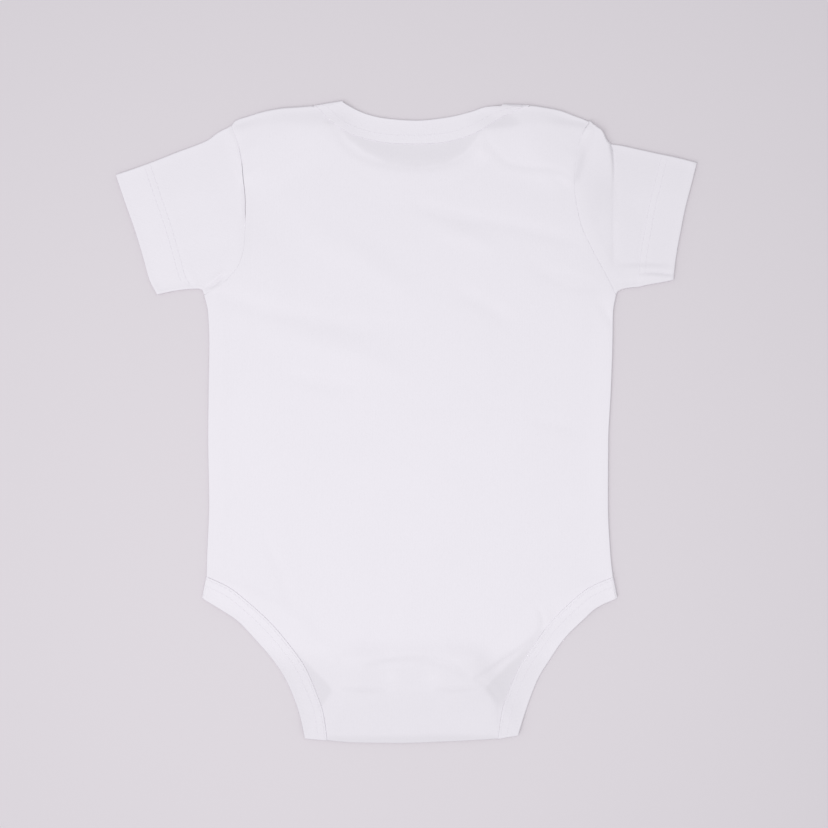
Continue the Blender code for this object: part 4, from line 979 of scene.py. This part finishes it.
def cloth_material(name, colour, wale, course, rib, roughness, sheen, depth):
    """Knitted cotton: wales and courses from the cloth's own coordinates, a little fuzz, slight unevenness of tone,
    painted shade between the wales, and the tone attribute: what the layers below let through, with painted shade and
    highlights along creases, seams and folds."""
    m = bpy.data.materials.new(name)
    m.use_nodes = True
    tree = m.node_tree
    bsdf = tree.nodes["Principled BSDF"]
    bsdf.inputs["Roughness"].default_value = roughness
    bsdf.inputs["Specular IOR Level"].default_value = 0.18
    bsdf.inputs["Sheen Weight"].default_value = sheen
    bsdf.inputs["Sheen Roughness"].default_value = 0.55
    bsdf.inputs["Sheen Tint"].default_value = (1.0, 1.0, 1.0, 1.0)
    uv = tree.nodes.new("ShaderNodeUVMap")
    uv.uv_map = "weave"
    split = tree.nodes.new("ShaderNodeSeparateXYZ")
    tree.links.new(uv.outputs[0], split.inputs[0])
    u, v = split.outputs[0], split.outputs[1]
    # a slow waver, so that the wales are not ruled lines
    slow = tree.nodes.new("ShaderNodeTexNoise")
    slow.inputs["Scale"].default_value = 60.0
    slow.inputs["Detail"].default_value = 2.0
    tree.links.new(uv.outputs[0], slow.inputs["Vector"])
    waver = maths(tree, "MULTIPLY", maths(tree, "SUBTRACT", slow.outputs[0], 0.5), 0.0009)
    U = maths(tree, "MULTIPLY", maths(tree, "ADD", u, waver), 1.0 / (wale * MM))
    V = maths(tree, "MULTIPLY", maths(tree, "ADD", v, waver), 1.0 / (course * MM))
    if rib:
        U, V = V, U
    off = maths(tree, "ABSOLUTE", maths(tree, "SUBTRACT", maths(tree, "FRACT", U), 0.5))          # 0 at the wale, 0.5 between
    crown = maths(tree, "SUBTRACT", 1.0, maths(tree, "MULTIPLY", maths(tree, "MULTIPLY", off, off), 4.0))
    loop = maths(tree, "SINE", maths(tree, "MULTIPLY", maths(tree, "SUBTRACT", V, maths(tree, "MULTIPLY", off, 1.1)), 2 * math.pi))
    loop = maths(tree, "MULTIPLY_ADD", loop, 0.5, 0.5)
    height = maths(tree, "MULTIPLY_ADD", loop, 0.20 if rib else 0.38, maths(tree, "MULTIPLY", crown, 0.9 if rib else 0.62))
    fuzz = tree.nodes.new("ShaderNodeTexNoise")
    fuzz.inputs["Scale"].default_value = 2600.0
    fuzz.inputs["Detail"].default_value = 3.0
    coords = tree.nodes.new("ShaderNodeTexCoord")
    tree.links.new(coords.outputs["Object"], fuzz.inputs["Vector"])
    height = maths(tree, "MULTIPLY_ADD", fuzz.outputs[0], 0.30, height)
    bump = tree.nodes.new("ShaderNodeBump")
    bump.inputs["Strength"].default_value = 0.55
    bump.inputs["Distance"].default_value = depth * MM
    tree.links.new(height, bump.inputs["Height"])
    tree.links.new(bump.outputs[0], bsdf.inputs["Normal"])
    # colour: the tone attribute (layers below showing through, with painted shade and highlights), slow unevenness, and
    # painted shade that makes it slightly darker between the wales
    tone = tree.nodes.new("ShaderNodeAttribute")
    tone.attribute_name = "tone"
    mottle = tree.nodes.new("ShaderNodeTexNoise")
    mottle.inputs["Scale"].default_value = 28.0
    mottle.inputs["Detail"].default_value = 5.0
    tree.links.new(coords.outputs["Object"], mottle.inputs["Vector"])
    factor = maths(tree, "MULTIPLY", tone.outputs["Fac"], maths(tree, "MULTIPLY_ADD", mottle.outputs[0], 0.020, 0.990))
    # painted shade: a little darker between the wales, where the knit's grooves fall in shade
    factor = maths(tree, "MULTIPLY", factor, maths(tree, "MULTIPLY_ADD", crown, 0.012, 0.990))
    mix = tree.nodes.new("ShaderNodeVectorMath")
    mix.operation = "SCALE"
    mix.inputs[0].default_value = colour
    tree.links.new(factor, mix.inputs["Scale"])
    tree.links.new(mix.outputs[0], bsdf.inputs["Base Color"])
    return m


def snap_material():
    m = bpy.data.materials.new("snap")
    m.use_nodes = True
    tree = m.node_tree
    bsdf = tree.nodes["Principled BSDF"]
    bsdf.inputs["Roughness"].default_value = 0.34
    coords = tree.nodes.new("ShaderNodeTexCoord")
    noise = tree.nodes.new("ShaderNodeTexNoise")
    noise.inputs["Scale"].default_value = 420.0
    tree.links.new(coords.outputs["Object"], noise.inputs["Vector"])
    ramp = tree.nodes.new("ShaderNodeVectorMath")
    ramp.operation = "SCALE"
    ramp.inputs[0].default_value = (0.80, 0.81, 0.84)
    tree.links.new(maths(tree, "MULTIPLY_ADD", noise.outputs[0], 0.06, 0.97), ramp.inputs["Scale"])
    tree.links.new(ramp.outputs[0], bsdf.inputs["Base Color"])
    bump = tree.nodes.new("ShaderNodeBump")
    bump.inputs["Strength"].default_value = 0.15
    bump.inputs["Distance"].default_value = 0.00005
    tree.links.new(noise.outputs[0], bump.inputs["Height"])
    tree.links.new(bump.outputs[0], bsdf.inputs["Normal"])
    return m


CLOTH = (0.840, 0.808, 0.856)
MATERIALS["jersey"] = cloth_material("jersey", CLOTH, 0.85, 0.62, False, 0.86, 0.12, 0.09)
MATERIALS["rib"] = cloth_material("rib", tuple(c * 1.01 for c in CLOTH), 1.15, 0.75, True, 0.86, 0.12, 0.13)
MATERIALS["snap"] = snap_material()

# ---- the panels ----------------------------------------------------------------------------------
n = len(BODY_COLUMNS)
neck_columns = (np.arange(n) >= LEFT_AT) & (np.arange(n) <= RIGHT_AT)


def lips_of(verts):
    return lip_at(verts[:, 0], verts[:, 1])


def layers_under(verts):
    return read(LAYERS, verts[:, 0], verts[:, 1]) + 1.0


mid_x, mid_y = BACK_TOP["x"][[3, -4]], BACK_TOP["y"][[3, -4]]
fold_inset = float(np.mean(z_back(mid_x, mid_y) - z_back_lap(mid_x, mid_y)) / 2 + JERSEY / 2)
crotch_x = np.array([-20.0, 0.0, 20.0])
CROTCH_INSET = float(np.mean(z_back(crotch_x, crotch_x * 0 - 167) - z_flap(crotch_x, crotch_x * 0 - 167)) / 2 + JERSEY / 2)
inset = np.where(neck_columns & (np.arange(n) > LEFT_AT) & (np.arange(n) < RIGHT_AT), 0.0, fold_inset)
plan, side_from, hole_from = panel_plan(BACK_LEGS, CROTCH, BACK_TOP, BACK_CROSSINGS, inset, False)
back = raised(plan, z_back)
fold_z = back[-1, :, 2].copy()
back = shaped(back, side_from, hole_from, -0.34, neck_columns, False)
# shoulder folds keep their height; only the neck seam sinks
hole_left, hole_right = back[hole_from:, 0], back[hole_from:, -1]
back_left = lap(back[-1, : LEFT_AT + 1], BACK_LAP_LEFT, z_back_lap, hole_left, 0)
back_right = lap(back[-1, RIGHT_AT:], BACK_LAP_RIGHT, z_back_lap, hole_right, -1)
crotch_turn = half_turn(back[0], z_flap(back[0, :, 0], back[0, :, 1]), np.array([0.0, -1.0]))
flap_rows = []
q = steps(45.0, FLAP_ROWS, high=True)
a, b = pulled_back(*binding_line(FLAP, "l", q)), pulled_back(*binding_line(FLAP, "r", q))
chord = across(a[0], b[0], BODY_COLUMNS)[:, 1]
for i in range(1, len(q)):
    row = across(a[i], b[i], BODY_COLUMNS)
    row[:, 1] += (crotch_turn[-1, :, 1] - chord) * (1 - q[i])
    flap_rows.append(raised(row, z_flap))
flap = np.array(flap_rows)
under = np.concatenate([crotch_turn, flap])
plan_uv = back[..., :2]
uv_left = np.stack([np.repeat(back[-1:, : LEFT_AT + 1, 0], len(back_left), 0), back[-1, : LEFT_AT + 1, 1] + run(back_left)], -1)
uv_right = np.stack([np.repeat(back[-1:, RIGHT_AT:, 0], len(back_right), 0), back[-1, RIGHT_AT:, 1] + run(back_right)], -1)
uv_under = np.stack([under[..., 0], back[0, :, 1] - run(under)], -1)
back_panel, back_top_grids = shell(
    "cloth_back", [(back, plan_uv, False), (back_left, uv_left, False), (back_right, uv_right, False), (under[::-1], uv_under[::-1], False)],
    JERSEY, lips_of, layers_under, "jersey", "back_panel")

front_inset_value = (JERSEY + AIR) / 2 + JERSEY / 2
inset = np.where((np.arange(n) > LEFT_AT) & (np.arange(n) < RIGHT_AT), 0.0, front_inset_value)
plan, front_side, front_hole = panel_plan(FRONT_LEGS, None, FRONT_TOP, FRONT_CROSSINGS, inset, True)
front = shaped(raised(plan, z_front), front_side, front_hole, 0.16, np.zeros(n, bool), False)
front_left = lap(front[-1, : LEFT_AT + 1], FRONT_LAP_LEFT, z_front_lap, front[front_hole:, 0], 0)
front_right = lap(front[-1, RIGHT_AT:], FRONT_LAP_RIGHT, z_front_lap, front[front_hole:, -1], -1)
uv_left = np.stack([np.repeat(front[-1:, : LEFT_AT + 1, 0], len(front_left), 0), front[-1, : LEFT_AT + 1, 1] + run(front_left)], -1)
uv_right = np.stack([np.repeat(front[-1:, RIGHT_AT:, 0], len(front_right), 0), front[-1, RIGHT_AT:, 1] + run(front_right)], -1)
front_panel, front_top_grids = shell(
    "cloth_front", [(front, front[..., :2], False), (front_left, uv_left, False), (front_right, uv_right, False)],
    JERSEY, lips_of, layers_under, "jersey", "front_panel")


# ---- bindings -------------------------------------------------------------------------------------
RISE = (RIB - JERSEY) / 2


def ribbon(name, stretches, node_name, count, stitch_side):
    """stretches: (border points, reach, height of the free edge, height function or None)."""
    rows, flat_rows = [], []
    for border, reach, height, z in stretches:
        for p, r, e in zip(border, reach, height):
            length = np.linalg.norm(r)
            free = np.array([p[0] + r[0], p[1] + r[1], e])
            seam = p + np.append(r / length * SEAM_GAP, 0)
            w = steps(length, BINDING_CELLS, low=True, high=True)
            row = free + (seam - free) * w[:, None]
            if z is not None:
                row[:, 2] = z(row[:, 0], row[:, 1])
            row[:, 2] += RISE - sink_at(p[0], p[1]) * 0.8 * fade((1 - w) * length, 0.0, 1.5)
            rows.append(row)
            flat_rows.append(z is not None)
    grid = np.array(rows)
    v = run(grid)[:, BINDING_CELLS // 2]
    w_mm = np.concatenate([np.zeros((len(grid), 1)), np.cumsum(np.linalg.norm(np.diff(grid, axis=1), axis=-1), axis=1)], axis=1)
    uv = np.stack([w_mm, np.repeat(v[:, None], grid.shape[1], 1)], -1)
    seam_lip = lip_at(grid[:, -1, 0], grid[:, -1, 1])

    def lips(verts):
        # free edge fully round, seam edge by the seam's own lip
        near_seam = np.full(len(verts), 0.06)
        flat = grid.reshape(-1, 3)
        key = {tuple(np.round(p / 2e-3).astype(np.int64)): i for i, p in enumerate(flat)}
        cols = grid.shape[1]
        for i, p in enumerate(verts):
            j = key.get(tuple(np.round(p / 2e-3).astype(np.int64)))
            if j is not None and j % cols > cols // 2:
                near_seam[i] = seam_lip[j // cols]
        return near_seam

    obj, grids = shell(name, [(grid, uv, False)], RIB, lips, count, "rib", node_name)
    up, normals, down = grids[0]
    return obj, grid, up, normals, down, w_mm


def stitch_rows(up, normals, down, w_mm, offsets, flip):
    """Lines of stitches at distances from the seam, on the outer face of a ribbon; flip says
    that the outer face is the lower one."""
    lines = []
    for offset in offsets:
        base, dirs = [], []
        for j in range(len(up)):
            w = w_mm[j, -1] - offset
            face, sign = (down, -1) if flip else (up, 1)
            base.append([np.interp(w, w_mm[j], face[j, :, k]) for k in range(3)])
            dirs.append([sign * np.interp(w, w_mm[j], normals[j, :, k]) for k in range(3)])
        lines.append((np.array(base), np.array(dirs)))
    return lines


def neck_stretches(rows, main, left, right, top, z_main, z_lap):
    up_way = np.array([0.0, 1.0])
    inset_l = main[-1, LEFT_AT, 1] - float(hermite(top["x"], top["y"], main[-1, LEFT_AT, 0]))
    inset_r = main[-1, RIGHT_AT, 1] - float(hermite(top["x"], top["y"], main[-1, RIGHT_AT, 0]))
    index = np.arange(len(rows["side"]))
    laps_l = index[(rows["side"] == 0) & (rows["ex"] < 0)]
    laps_r = index[(rows["side"] == 0) & (rows["ex"] > 0)]
    mains = index[rows["side"] == 1]

    def flat(border, which, q, z, first, last):
        ex, ey = rows["ex"][which].copy(), rows["ey"][which].copy()
        ey[0] += first
        ey[-1] += last
        free = along(ex, ey, q)
        return border, free - border[:, :2], z(free[:, 0], free[:, 1]), z

    def over(border, free):
        high, low = float(z_main(*free)), float(z_lap(*free))
        angle = np.linspace(0, math.pi, len(border))
        plan = free + np.outer((high - low) / 2 * np.sin(angle), up_way)
        return border, plan - border[:, :2], (high + low) / 2 + (high - low) / 2 * np.cos(angle), None

    def lengths(points):
        s = np.concatenate([[0], np.cumsum(np.hypot(*np.diff(points[:, :2], axis=0).T))])
        return s / s[-1]

    out = []
    edge = left[-1, :]
    q = lengths(edge)
    out.append(flat(edge[:-1], laps_l, q[:-1], z_lap, 0, inset_l))
    free_l = np.array([rows["ex"][mains[0]], rows["ey"][mains[0]] + inset_l])
    b, r, e, z = over(left[: FOLD_STEPS + 1, -1], free_l)
    out.append((b[::-1], r[::-1], e[::-1], z))
    row = main[-1, LEFT_AT + 1: RIGHT_AT]
    sx, sy = rows["sx"][mains], rows["sy"][mains]
    s = np.concatenate([[0], np.cumsum(np.hypot(np.diff(sx), np.diff(sy)))])
    out.append(flat(row, mains, np.interp(row[:, 0], sx, s / s[-1]), z_main, inset_l, inset_r))
    free_r = np.array([rows["ex"][mains[-1]], rows["ey"][mains[-1]] + inset_r])
    out.append(over(right[: FOLD_STEPS + 1, 0], free_r))
    edge = right[-1, :]
    q = lengths(edge)
    out.append(flat(edge[1:], laps_r, q[1:], z_lap, inset_r, 0))
    return out


def leg_stretches(side):
    column = 0 if side == "l" else -1
    out = []
    q = 1 - steps(105.0, LEG_ROWS, low=True)
    _, reach = binding_line(FRONT_LEGS, side, q)
    border = front[: len(q), column].copy()
    free = border[:, :2] + reach
    out.append((border[:-1], reach[:-1], z_front(free[:-1, 0], free[:-1, 1]), z_front))
    depth = float(z_back(*border[-1, :2]) - z_front(*border[-1, :2]))
    short = depth / 2 + JERSEY / 2
    seam_way, free_way = border[-1, :2] - border[-3, :2], free[-1] - free[-3]
    seam_way, free_way = seam_way / np.linalg.norm(seam_way), free_way / np.linalg.norm(free_way)
    angle = np.linspace(0, math.pi, FOLD_STEPS + 1)
    points = []
    for at, way in ((border[-1, :2] - seam_way * short, seam_way), (free[-1] - free_way * short, free_way)):
        low, high = float(z_front(*at)), float(z_back(*at))
        spot = at + np.outer((high - low) / 2 * np.sin(angle), way)
        points.append((spot, (high + low) / 2 - (high - low) / 2 * np.cos(angle)))
    out.append((np.column_stack([points[0][0], points[0][1]]), points[1][0] - points[0][0], points[1][1], None))
    q = 1 - steps(105.0, LEG_ROWS)
    _, reach = binding_line(BACK_LEGS, side, q)
    border = back[: len(q), column]
    free = border[:, :2] + reach
    out.append((border[1:-1][::-1], reach[1:-1][::-1], z_back(free[1:-1, 0], free[1:-1, 1])[::-1], z_back))
    border = crotch_turn[:, column]
    base = border[0, :2] + reach[0]
    high, low = float(z_back(*base)), float(z_flap(*base))
    spot = base + np.outer((high - low) / 2 * np.sin(angle), np.array([0.0, -1.0]))
    out.append((border, spot - border[:, :2], (high + low) / 2 + (high - low) / 2 * np.cos(angle), None))
    border = flap[:, column]
    _, reach = binding_line(FLAP, side, steps(45.0, FLAP_ROWS, high=True)[1:])
    free = border[:, :2] + reach
    out.append((border, reach, z_flap(free[:, 0], free[:, 1]), z_flap))
    return out


COVER = (1.2, 4.6)    # the two needles of the coverstitch, from the seam
stitch_lines = []
for name, node_name, stretches, flip in (
    ("band_neck_back", "neck_binding_back", neck_stretches(BACK_NECK, back, back_left, back_right, BACK_TOP, z_back, z_back_lap), False),
    ("band_neck_front", "neck_binding_front", neck_stretches(FRONT_NECK, front, front_left, front_right, FRONT_TOP, z_front, z_front_lap), True),
    ("band_leg_left", "leg_binding_left", leg_stretches("l"), False),
    ("band_leg_right", "leg_binding_right", leg_stretches("r"), False),
):
    obj, grid, up, normals, down, w_mm = ribbon(name, stretches, node_name, lambda v: layers_under(v) + 1.2, COVER)
    # the outer face of the back's neck band is the one that looks up at the middle of the neck
    middle = len(grid) // 2
    outer_up = normals[middle, BINDING_CELLS, 2] > 0
    if name == "band_neck_front":
        outer_up = not outer_up
    if name.startswith("band_leg"):
        back_row = int(len(grid) * 0.6)
        outer_up = normals[back_row, BINDING_CELLS, 2] > 0
    rows_of = COVER if name.startswith("band_leg") else COVER[1:]
    stitch_lines += stitch_rows(up, normals, down, w_mm, rows_of, not outer_up)
stitches_bindings = threads("stitches_bindings", stitch_lines)


# ---- sleeves ----------------------------------------------------------------------------------------
def make_sleeve(name, node_name, rows, side, armhole):
    sign = -1.0 if side == "left" else 1.0
    hole = armhole[::-1, :2] + np.array([sign * SEAM_GAP, 0])
    if side == "left":    # where the cap pulls, the lips stand a little apart
        pull = (1 - fade(hole[:, 1], 106.0, 112.0)) * fade(hole[:, 1], 140.0, 150.0)
        hole = hole - np.array([0.26, 0.0]) * pull[:, None]
    v = np.concatenate([[0], np.cumsum(np.hypot(*np.diff(hole, axis=0).T))])
    v /= v[-1]
    # the armhole row has its own fine steps at both ends, kept all the way to the cuff
    u = steps(62.0, SLEEVE_RINGS, low=True, high=True)
    cuff = along(rows["cuff"]["x"], rows["cuff"]["y"], v)
    if np.hypot(*(cuff[0] - pairs(rows["crown"], "x", "y")[-1])) > np.hypot(*(cuff[-1] - pairs(rows["crown"], "x", "y")[-1])):
        cuff = along(rows["cuff"]["x"][::-1], rows["cuff"]["y"][::-1], v)
    crown = along(rows["crown"]["x"], rows["crown"]["y"], u)
    under_line = along(rows["under"]["x"], rows["under"]["y"], u)
    under_line[0] = hole[-1]
    crown[0] = hole[0]
    U, V = u[:, None, None], v[None, :, None]
    plan = (
        hole[None] * (1 - U) + cuff[None] * U + crown[:, None] * (1 - V) + under_line[:, None] * V
        - (hole[0] * (1 - U) * (1 - V) + cuff[0] * U * (1 - V) + hole[-1] * (1 - U) * V + cuff[-1] * U * V)
    )

    def layers(points):
        x, y = points[..., 0], points[..., 1]
        return 0.02 + JERSEY / 2 + read(LIFT, x, y), z_back(x, y)

    low, high = layers(plan)
    ways, inner_index, reach_of = {}, {0: 8, -1: -9}, {}
    for border in (0, -1):
        way = plan[:, border] - plan[:, inner_index[border]]
        way /= np.linalg.norm(way, axis=1)[:, None]
        ways[border] = way
        reach_of[border] = (high[:, border] - low[:, border]) / 2
        short = reach_of[border] + JERSEY / 2
        if border == 0:
            short = short * np.minimum(1, np.arange(len(u)) / 6.0)
        # squeeze the nearest lines too, so that they keep their order
        reach = 6.0
        dist = np.linalg.norm(plan - plan[:, border][:, None], axis=-1)
        pull = np.clip(1 - dist / reach, 0, 1)
        plan = plan - way[:, None] * (short[:, None] * pull)[..., None]
    low, high = layers(plan)
    # lips at the armhole sink into the seam
    along_u = np.linalg.norm(plan - plan[:1], axis=-1)
    sunk = sink_at(plan[:1, :, 0] * np.ones_like(high), plan[:1, :, 1] * np.ones_like(high)) * fade(along_u, 0.0, 1.6)
    high = high - sunk
    # the hem: its stitching pulls a shallow groove, and its edge is a soft fold
    to_cuff = np.linalg.norm(plan - plan[-1:], axis=-1)
    high = high - 0.26 * np.exp(-0.5 * ((to_cuff - (HEM - 0.4)) / 1.5) ** 2) - 0.04 * np.exp(-0.5 * ((to_cuff - (HEM - 4.2)) / 0.6) ** 2)
    edge_round = fade(to_cuff, 0.0, 1.6)
    high, low = high - 0.18 * edge_round, low + 0.10 * edge_round
    angle = np.linspace(0, math.pi, FOLD_STEPS + 1)[1:-1]
    rings = []
    for j in range(len(u)):
        arcs = {}
        for border in (0, -1):
            r, mid = (high[j, border] - low[j, border]) / 2, (high[j, border] + low[j, border]) / 2
            way = ways[border][j]
            if border == 0:
                k = min(1.0, j / 6.0)
                way = way * k + np.array([0.0, 1.0]) * (1 - k)
                way = way / np.linalg.norm(way)
            arcs[border] = np.column_stack([plan[j, border] + np.outer(reach_of[border][j] * np.sin(angle), way), mid + r * np.cos(angle)])
        upper = np.column_stack([plan[j], high[j]])
        lower = np.column_stack([plan[j], low[j]])
        rings.append(np.concatenate([upper, arcs[-1], lower[::-1], arcs[0][::-1]]))
    grid = np.array(rings)
    # wales run from the armhole to the cuff
    way = plan[-1].mean(0) - plan[0].mean(0)
    way /= np.linalg.norm(way)
    uv = np.stack([grid[..., 0] * -way[1] + grid[..., 1] * way[0], grid[..., 0] * way[0] + grid[..., 1] * way[1]], -1)
    if side == "left":
        grid, uv = grid[:, ::-1], uv[:, ::-1]

    def lips(verts):
        d = np.abs(np.min(np.linalg.norm(verts[:, None, :2] - plan[0][None, ::3], axis=-1), axis=1))
        return np.where(d < 4.0, lip_at(verts[:, 0] , verts[:, 1]), 0.25)

    obj, grids = shell(name, [(grid, uv, True)], JERSEY, lips, lambda p: layers_under(p), "jersey", node_name)
    up, normals, down = grids[0]
    cols = len(v)
    if side == "left":
        up, normals, down = (g[:, ::-1] for g in (up, normals, down))
    lines = []
    facing = 1 if normals[len(u) // 2, cols // 2, 2] > 0 else -1
    face = up if facing > 0 else down
    for offset in (HEM - 1.0, HEM - 4.2):
        for part in (slice(2, cols - 2), slice(cols + FOLD_STEPS + 1, 2 * cols + FOLD_STEPS - 4)):
            points, dirs = [], []
            for i in range(*part.indices(grid.shape[1])):
                s = np.concatenate([[0], np.cumsum(np.linalg.norm(np.diff(grid[::-1, i] if side == "right" else grid[:, ::-1][::-1, i], axis=0), axis=1))])
                points.append([np.interp(offset, s, face[::-1, i, k]) for k in range(3)])
                dirs.append([facing * np.interp(offset, s, normals[::-1, i, k]) for k in range(3)])
            lines.append((np.array(points), np.array(dirs)))
    return obj, lines


sleeve_l, hem_l = make_sleeve("sleeve_l", "sleeve_left", SLEEVE_LEFT, "left", hole_left)
sleeve_r, hem_r = make_sleeve("sleeve_r", "sleeve_right", SLEEVE_RIGHT, "right", hole_right)
threads("stitches_hems", hem_l + hem_r, slot="jersey")


# ---- snaps ----------------------------------------------------------------------------------------
def lathe(name, profile, x, y, z, node_name, around=48):
    profile = np.array(profile, float)
    a = np.linspace(0, 2 * math.pi, around, endpoint=False)
    verts = [(x, y, z + profile[0, 1])]
    for r, h in profile[1:-1]:
        verts += [(x + r * math.cos(t), y + r * math.sin(t), z + h) for t in a]
    verts.append((x, y, z + profile[-1, 1]))
    rings = len(profile) - 2
    faces = [[0, 1 + (k + 1) % around, 1 + k][::-1] for k in range(around)]
    for j in range(rings - 1):
        for k in range(around):
            m = (k + 1) % around
            faces.append([1 + j * around + k, 1 + (j + 1) * around + k, 1 + (j + 1) * around + m, 1 + j * around + m])
    last = len(verts) - 1
    faces += [[last, 1 + (rings - 1) * around + (k + 1) % around, 1 + (rings - 1) * around + k] for k in range(around)]
    obj = mesh_object(name, np.array(verts), faces, None, None, "snap", (node_name,))
    return obj


for label, x in SNAPS:
    # the cap looks down: a rim, a step and a shallow dish
    lathe(f"cap_{label}", ((0, 0.70), (2.0, 0.70), (4.0, 0.70), (4.6, 0.62), (4.8, 0.42), (4.78, 0.18), (4.55, 0.03), (4.1, 0.0), (3.7, 0.05),
                           (3.5, 0.20), (3.3, 0.30), (2.2, 0.33), (1.0, 0.30), (0, 0.29)), x, SNAP_Y, 0.0, f"snap_{label}_cap")
    base = float(read(S_FRONT, x, SNAP_Y)) + JERSEY + 0.08
    lathe(f"socket_{label}", ((0, 0.9), (2.4, 0.9), (3.6, 0.86), (4.2, 0.74), (4.4, 0.5), (4.3, 0.25), (4.0, 0.05), (2.4, 0.0), (0, 0.0)), x, SNAP_Y, base, f"snap_{label}_socket")



# ---- surface, light and camera -----------------------------------------------------------------------
def floor_material():
    m = bpy.data.materials.new("floor")
    m.use_nodes = True
    tree = m.node_tree
    bsdf = tree.nodes["Principled BSDF"]
    bsdf.inputs["Roughness"].default_value = 0.9
    bsdf.inputs["Specular IOR Level"].default_value = 0.1
    bsdf.inputs["Base Color"].default_value = (0.722, 0.679, 0.715, 1.0)
    return m


mesh = bpy.data.meshes.new("surface")
size = 6.0
mesh.from_pydata([(-size, -size, 0), (size, -size, 0), (size, size, 0), (-size, size, 0)], [], [(0, 1, 2, 3)])
surface = bpy.data.objects.new("surface", mesh)
surface.data.materials.append(floor_material())
bpy.context.scene.collection.objects.link(surface)

world = bpy.data.worlds.new("soft_room")
bpy.context.scene.world = world
world.use_nodes = True
world.node_tree.nodes["Background"].inputs[0].default_value = (0.97, 0.98, 1.0, 1.0)
world.node_tree.nodes["Background"].inputs[1].default_value = 0.62


def area_light(name, place, look_at, size_x, energy, colour=(1, 1, 1)):
    data = bpy.data.lights.new(name, "AREA")
    data.shape = "SQUARE"
    data.size = size_x
    data.energy = energy
    data.color = colour
    obj = bpy.data.objects.new(name, data)
    obj.location = place
    obj.rotation_mode = "QUATERNION"
    obj.rotation_quaternion = (Vector(look_at) - Vector(place)).to_track_quat("-Z", "Y")
    bpy.context.scene.collection.objects.link(obj)
    return obj


area_light("window", (-1.60, -1.50, 2.40), (0.0, 0.0, 0.0), 1.5, 14.5)
area_light("overhead", (-0.055, -0.05, 0.68), (-0.055, -0.05, 0.0), 0.45, 1.68)
camera_data = bpy.data.cameras.new("camera")
camera_data.lens = 50.0
camera_data.sensor_width = 36.0
camera_data.dof.use_dof = False
camera = bpy.data.objects.new("camera", camera_data)
camera.location = (0.0041, 0.0044, 0.6115)
bpy.context.scene.collection.objects.link(camera)
bpy.context.scene.camera = camera
bpy.context.scene.view_settings.view_transform = "Standard"
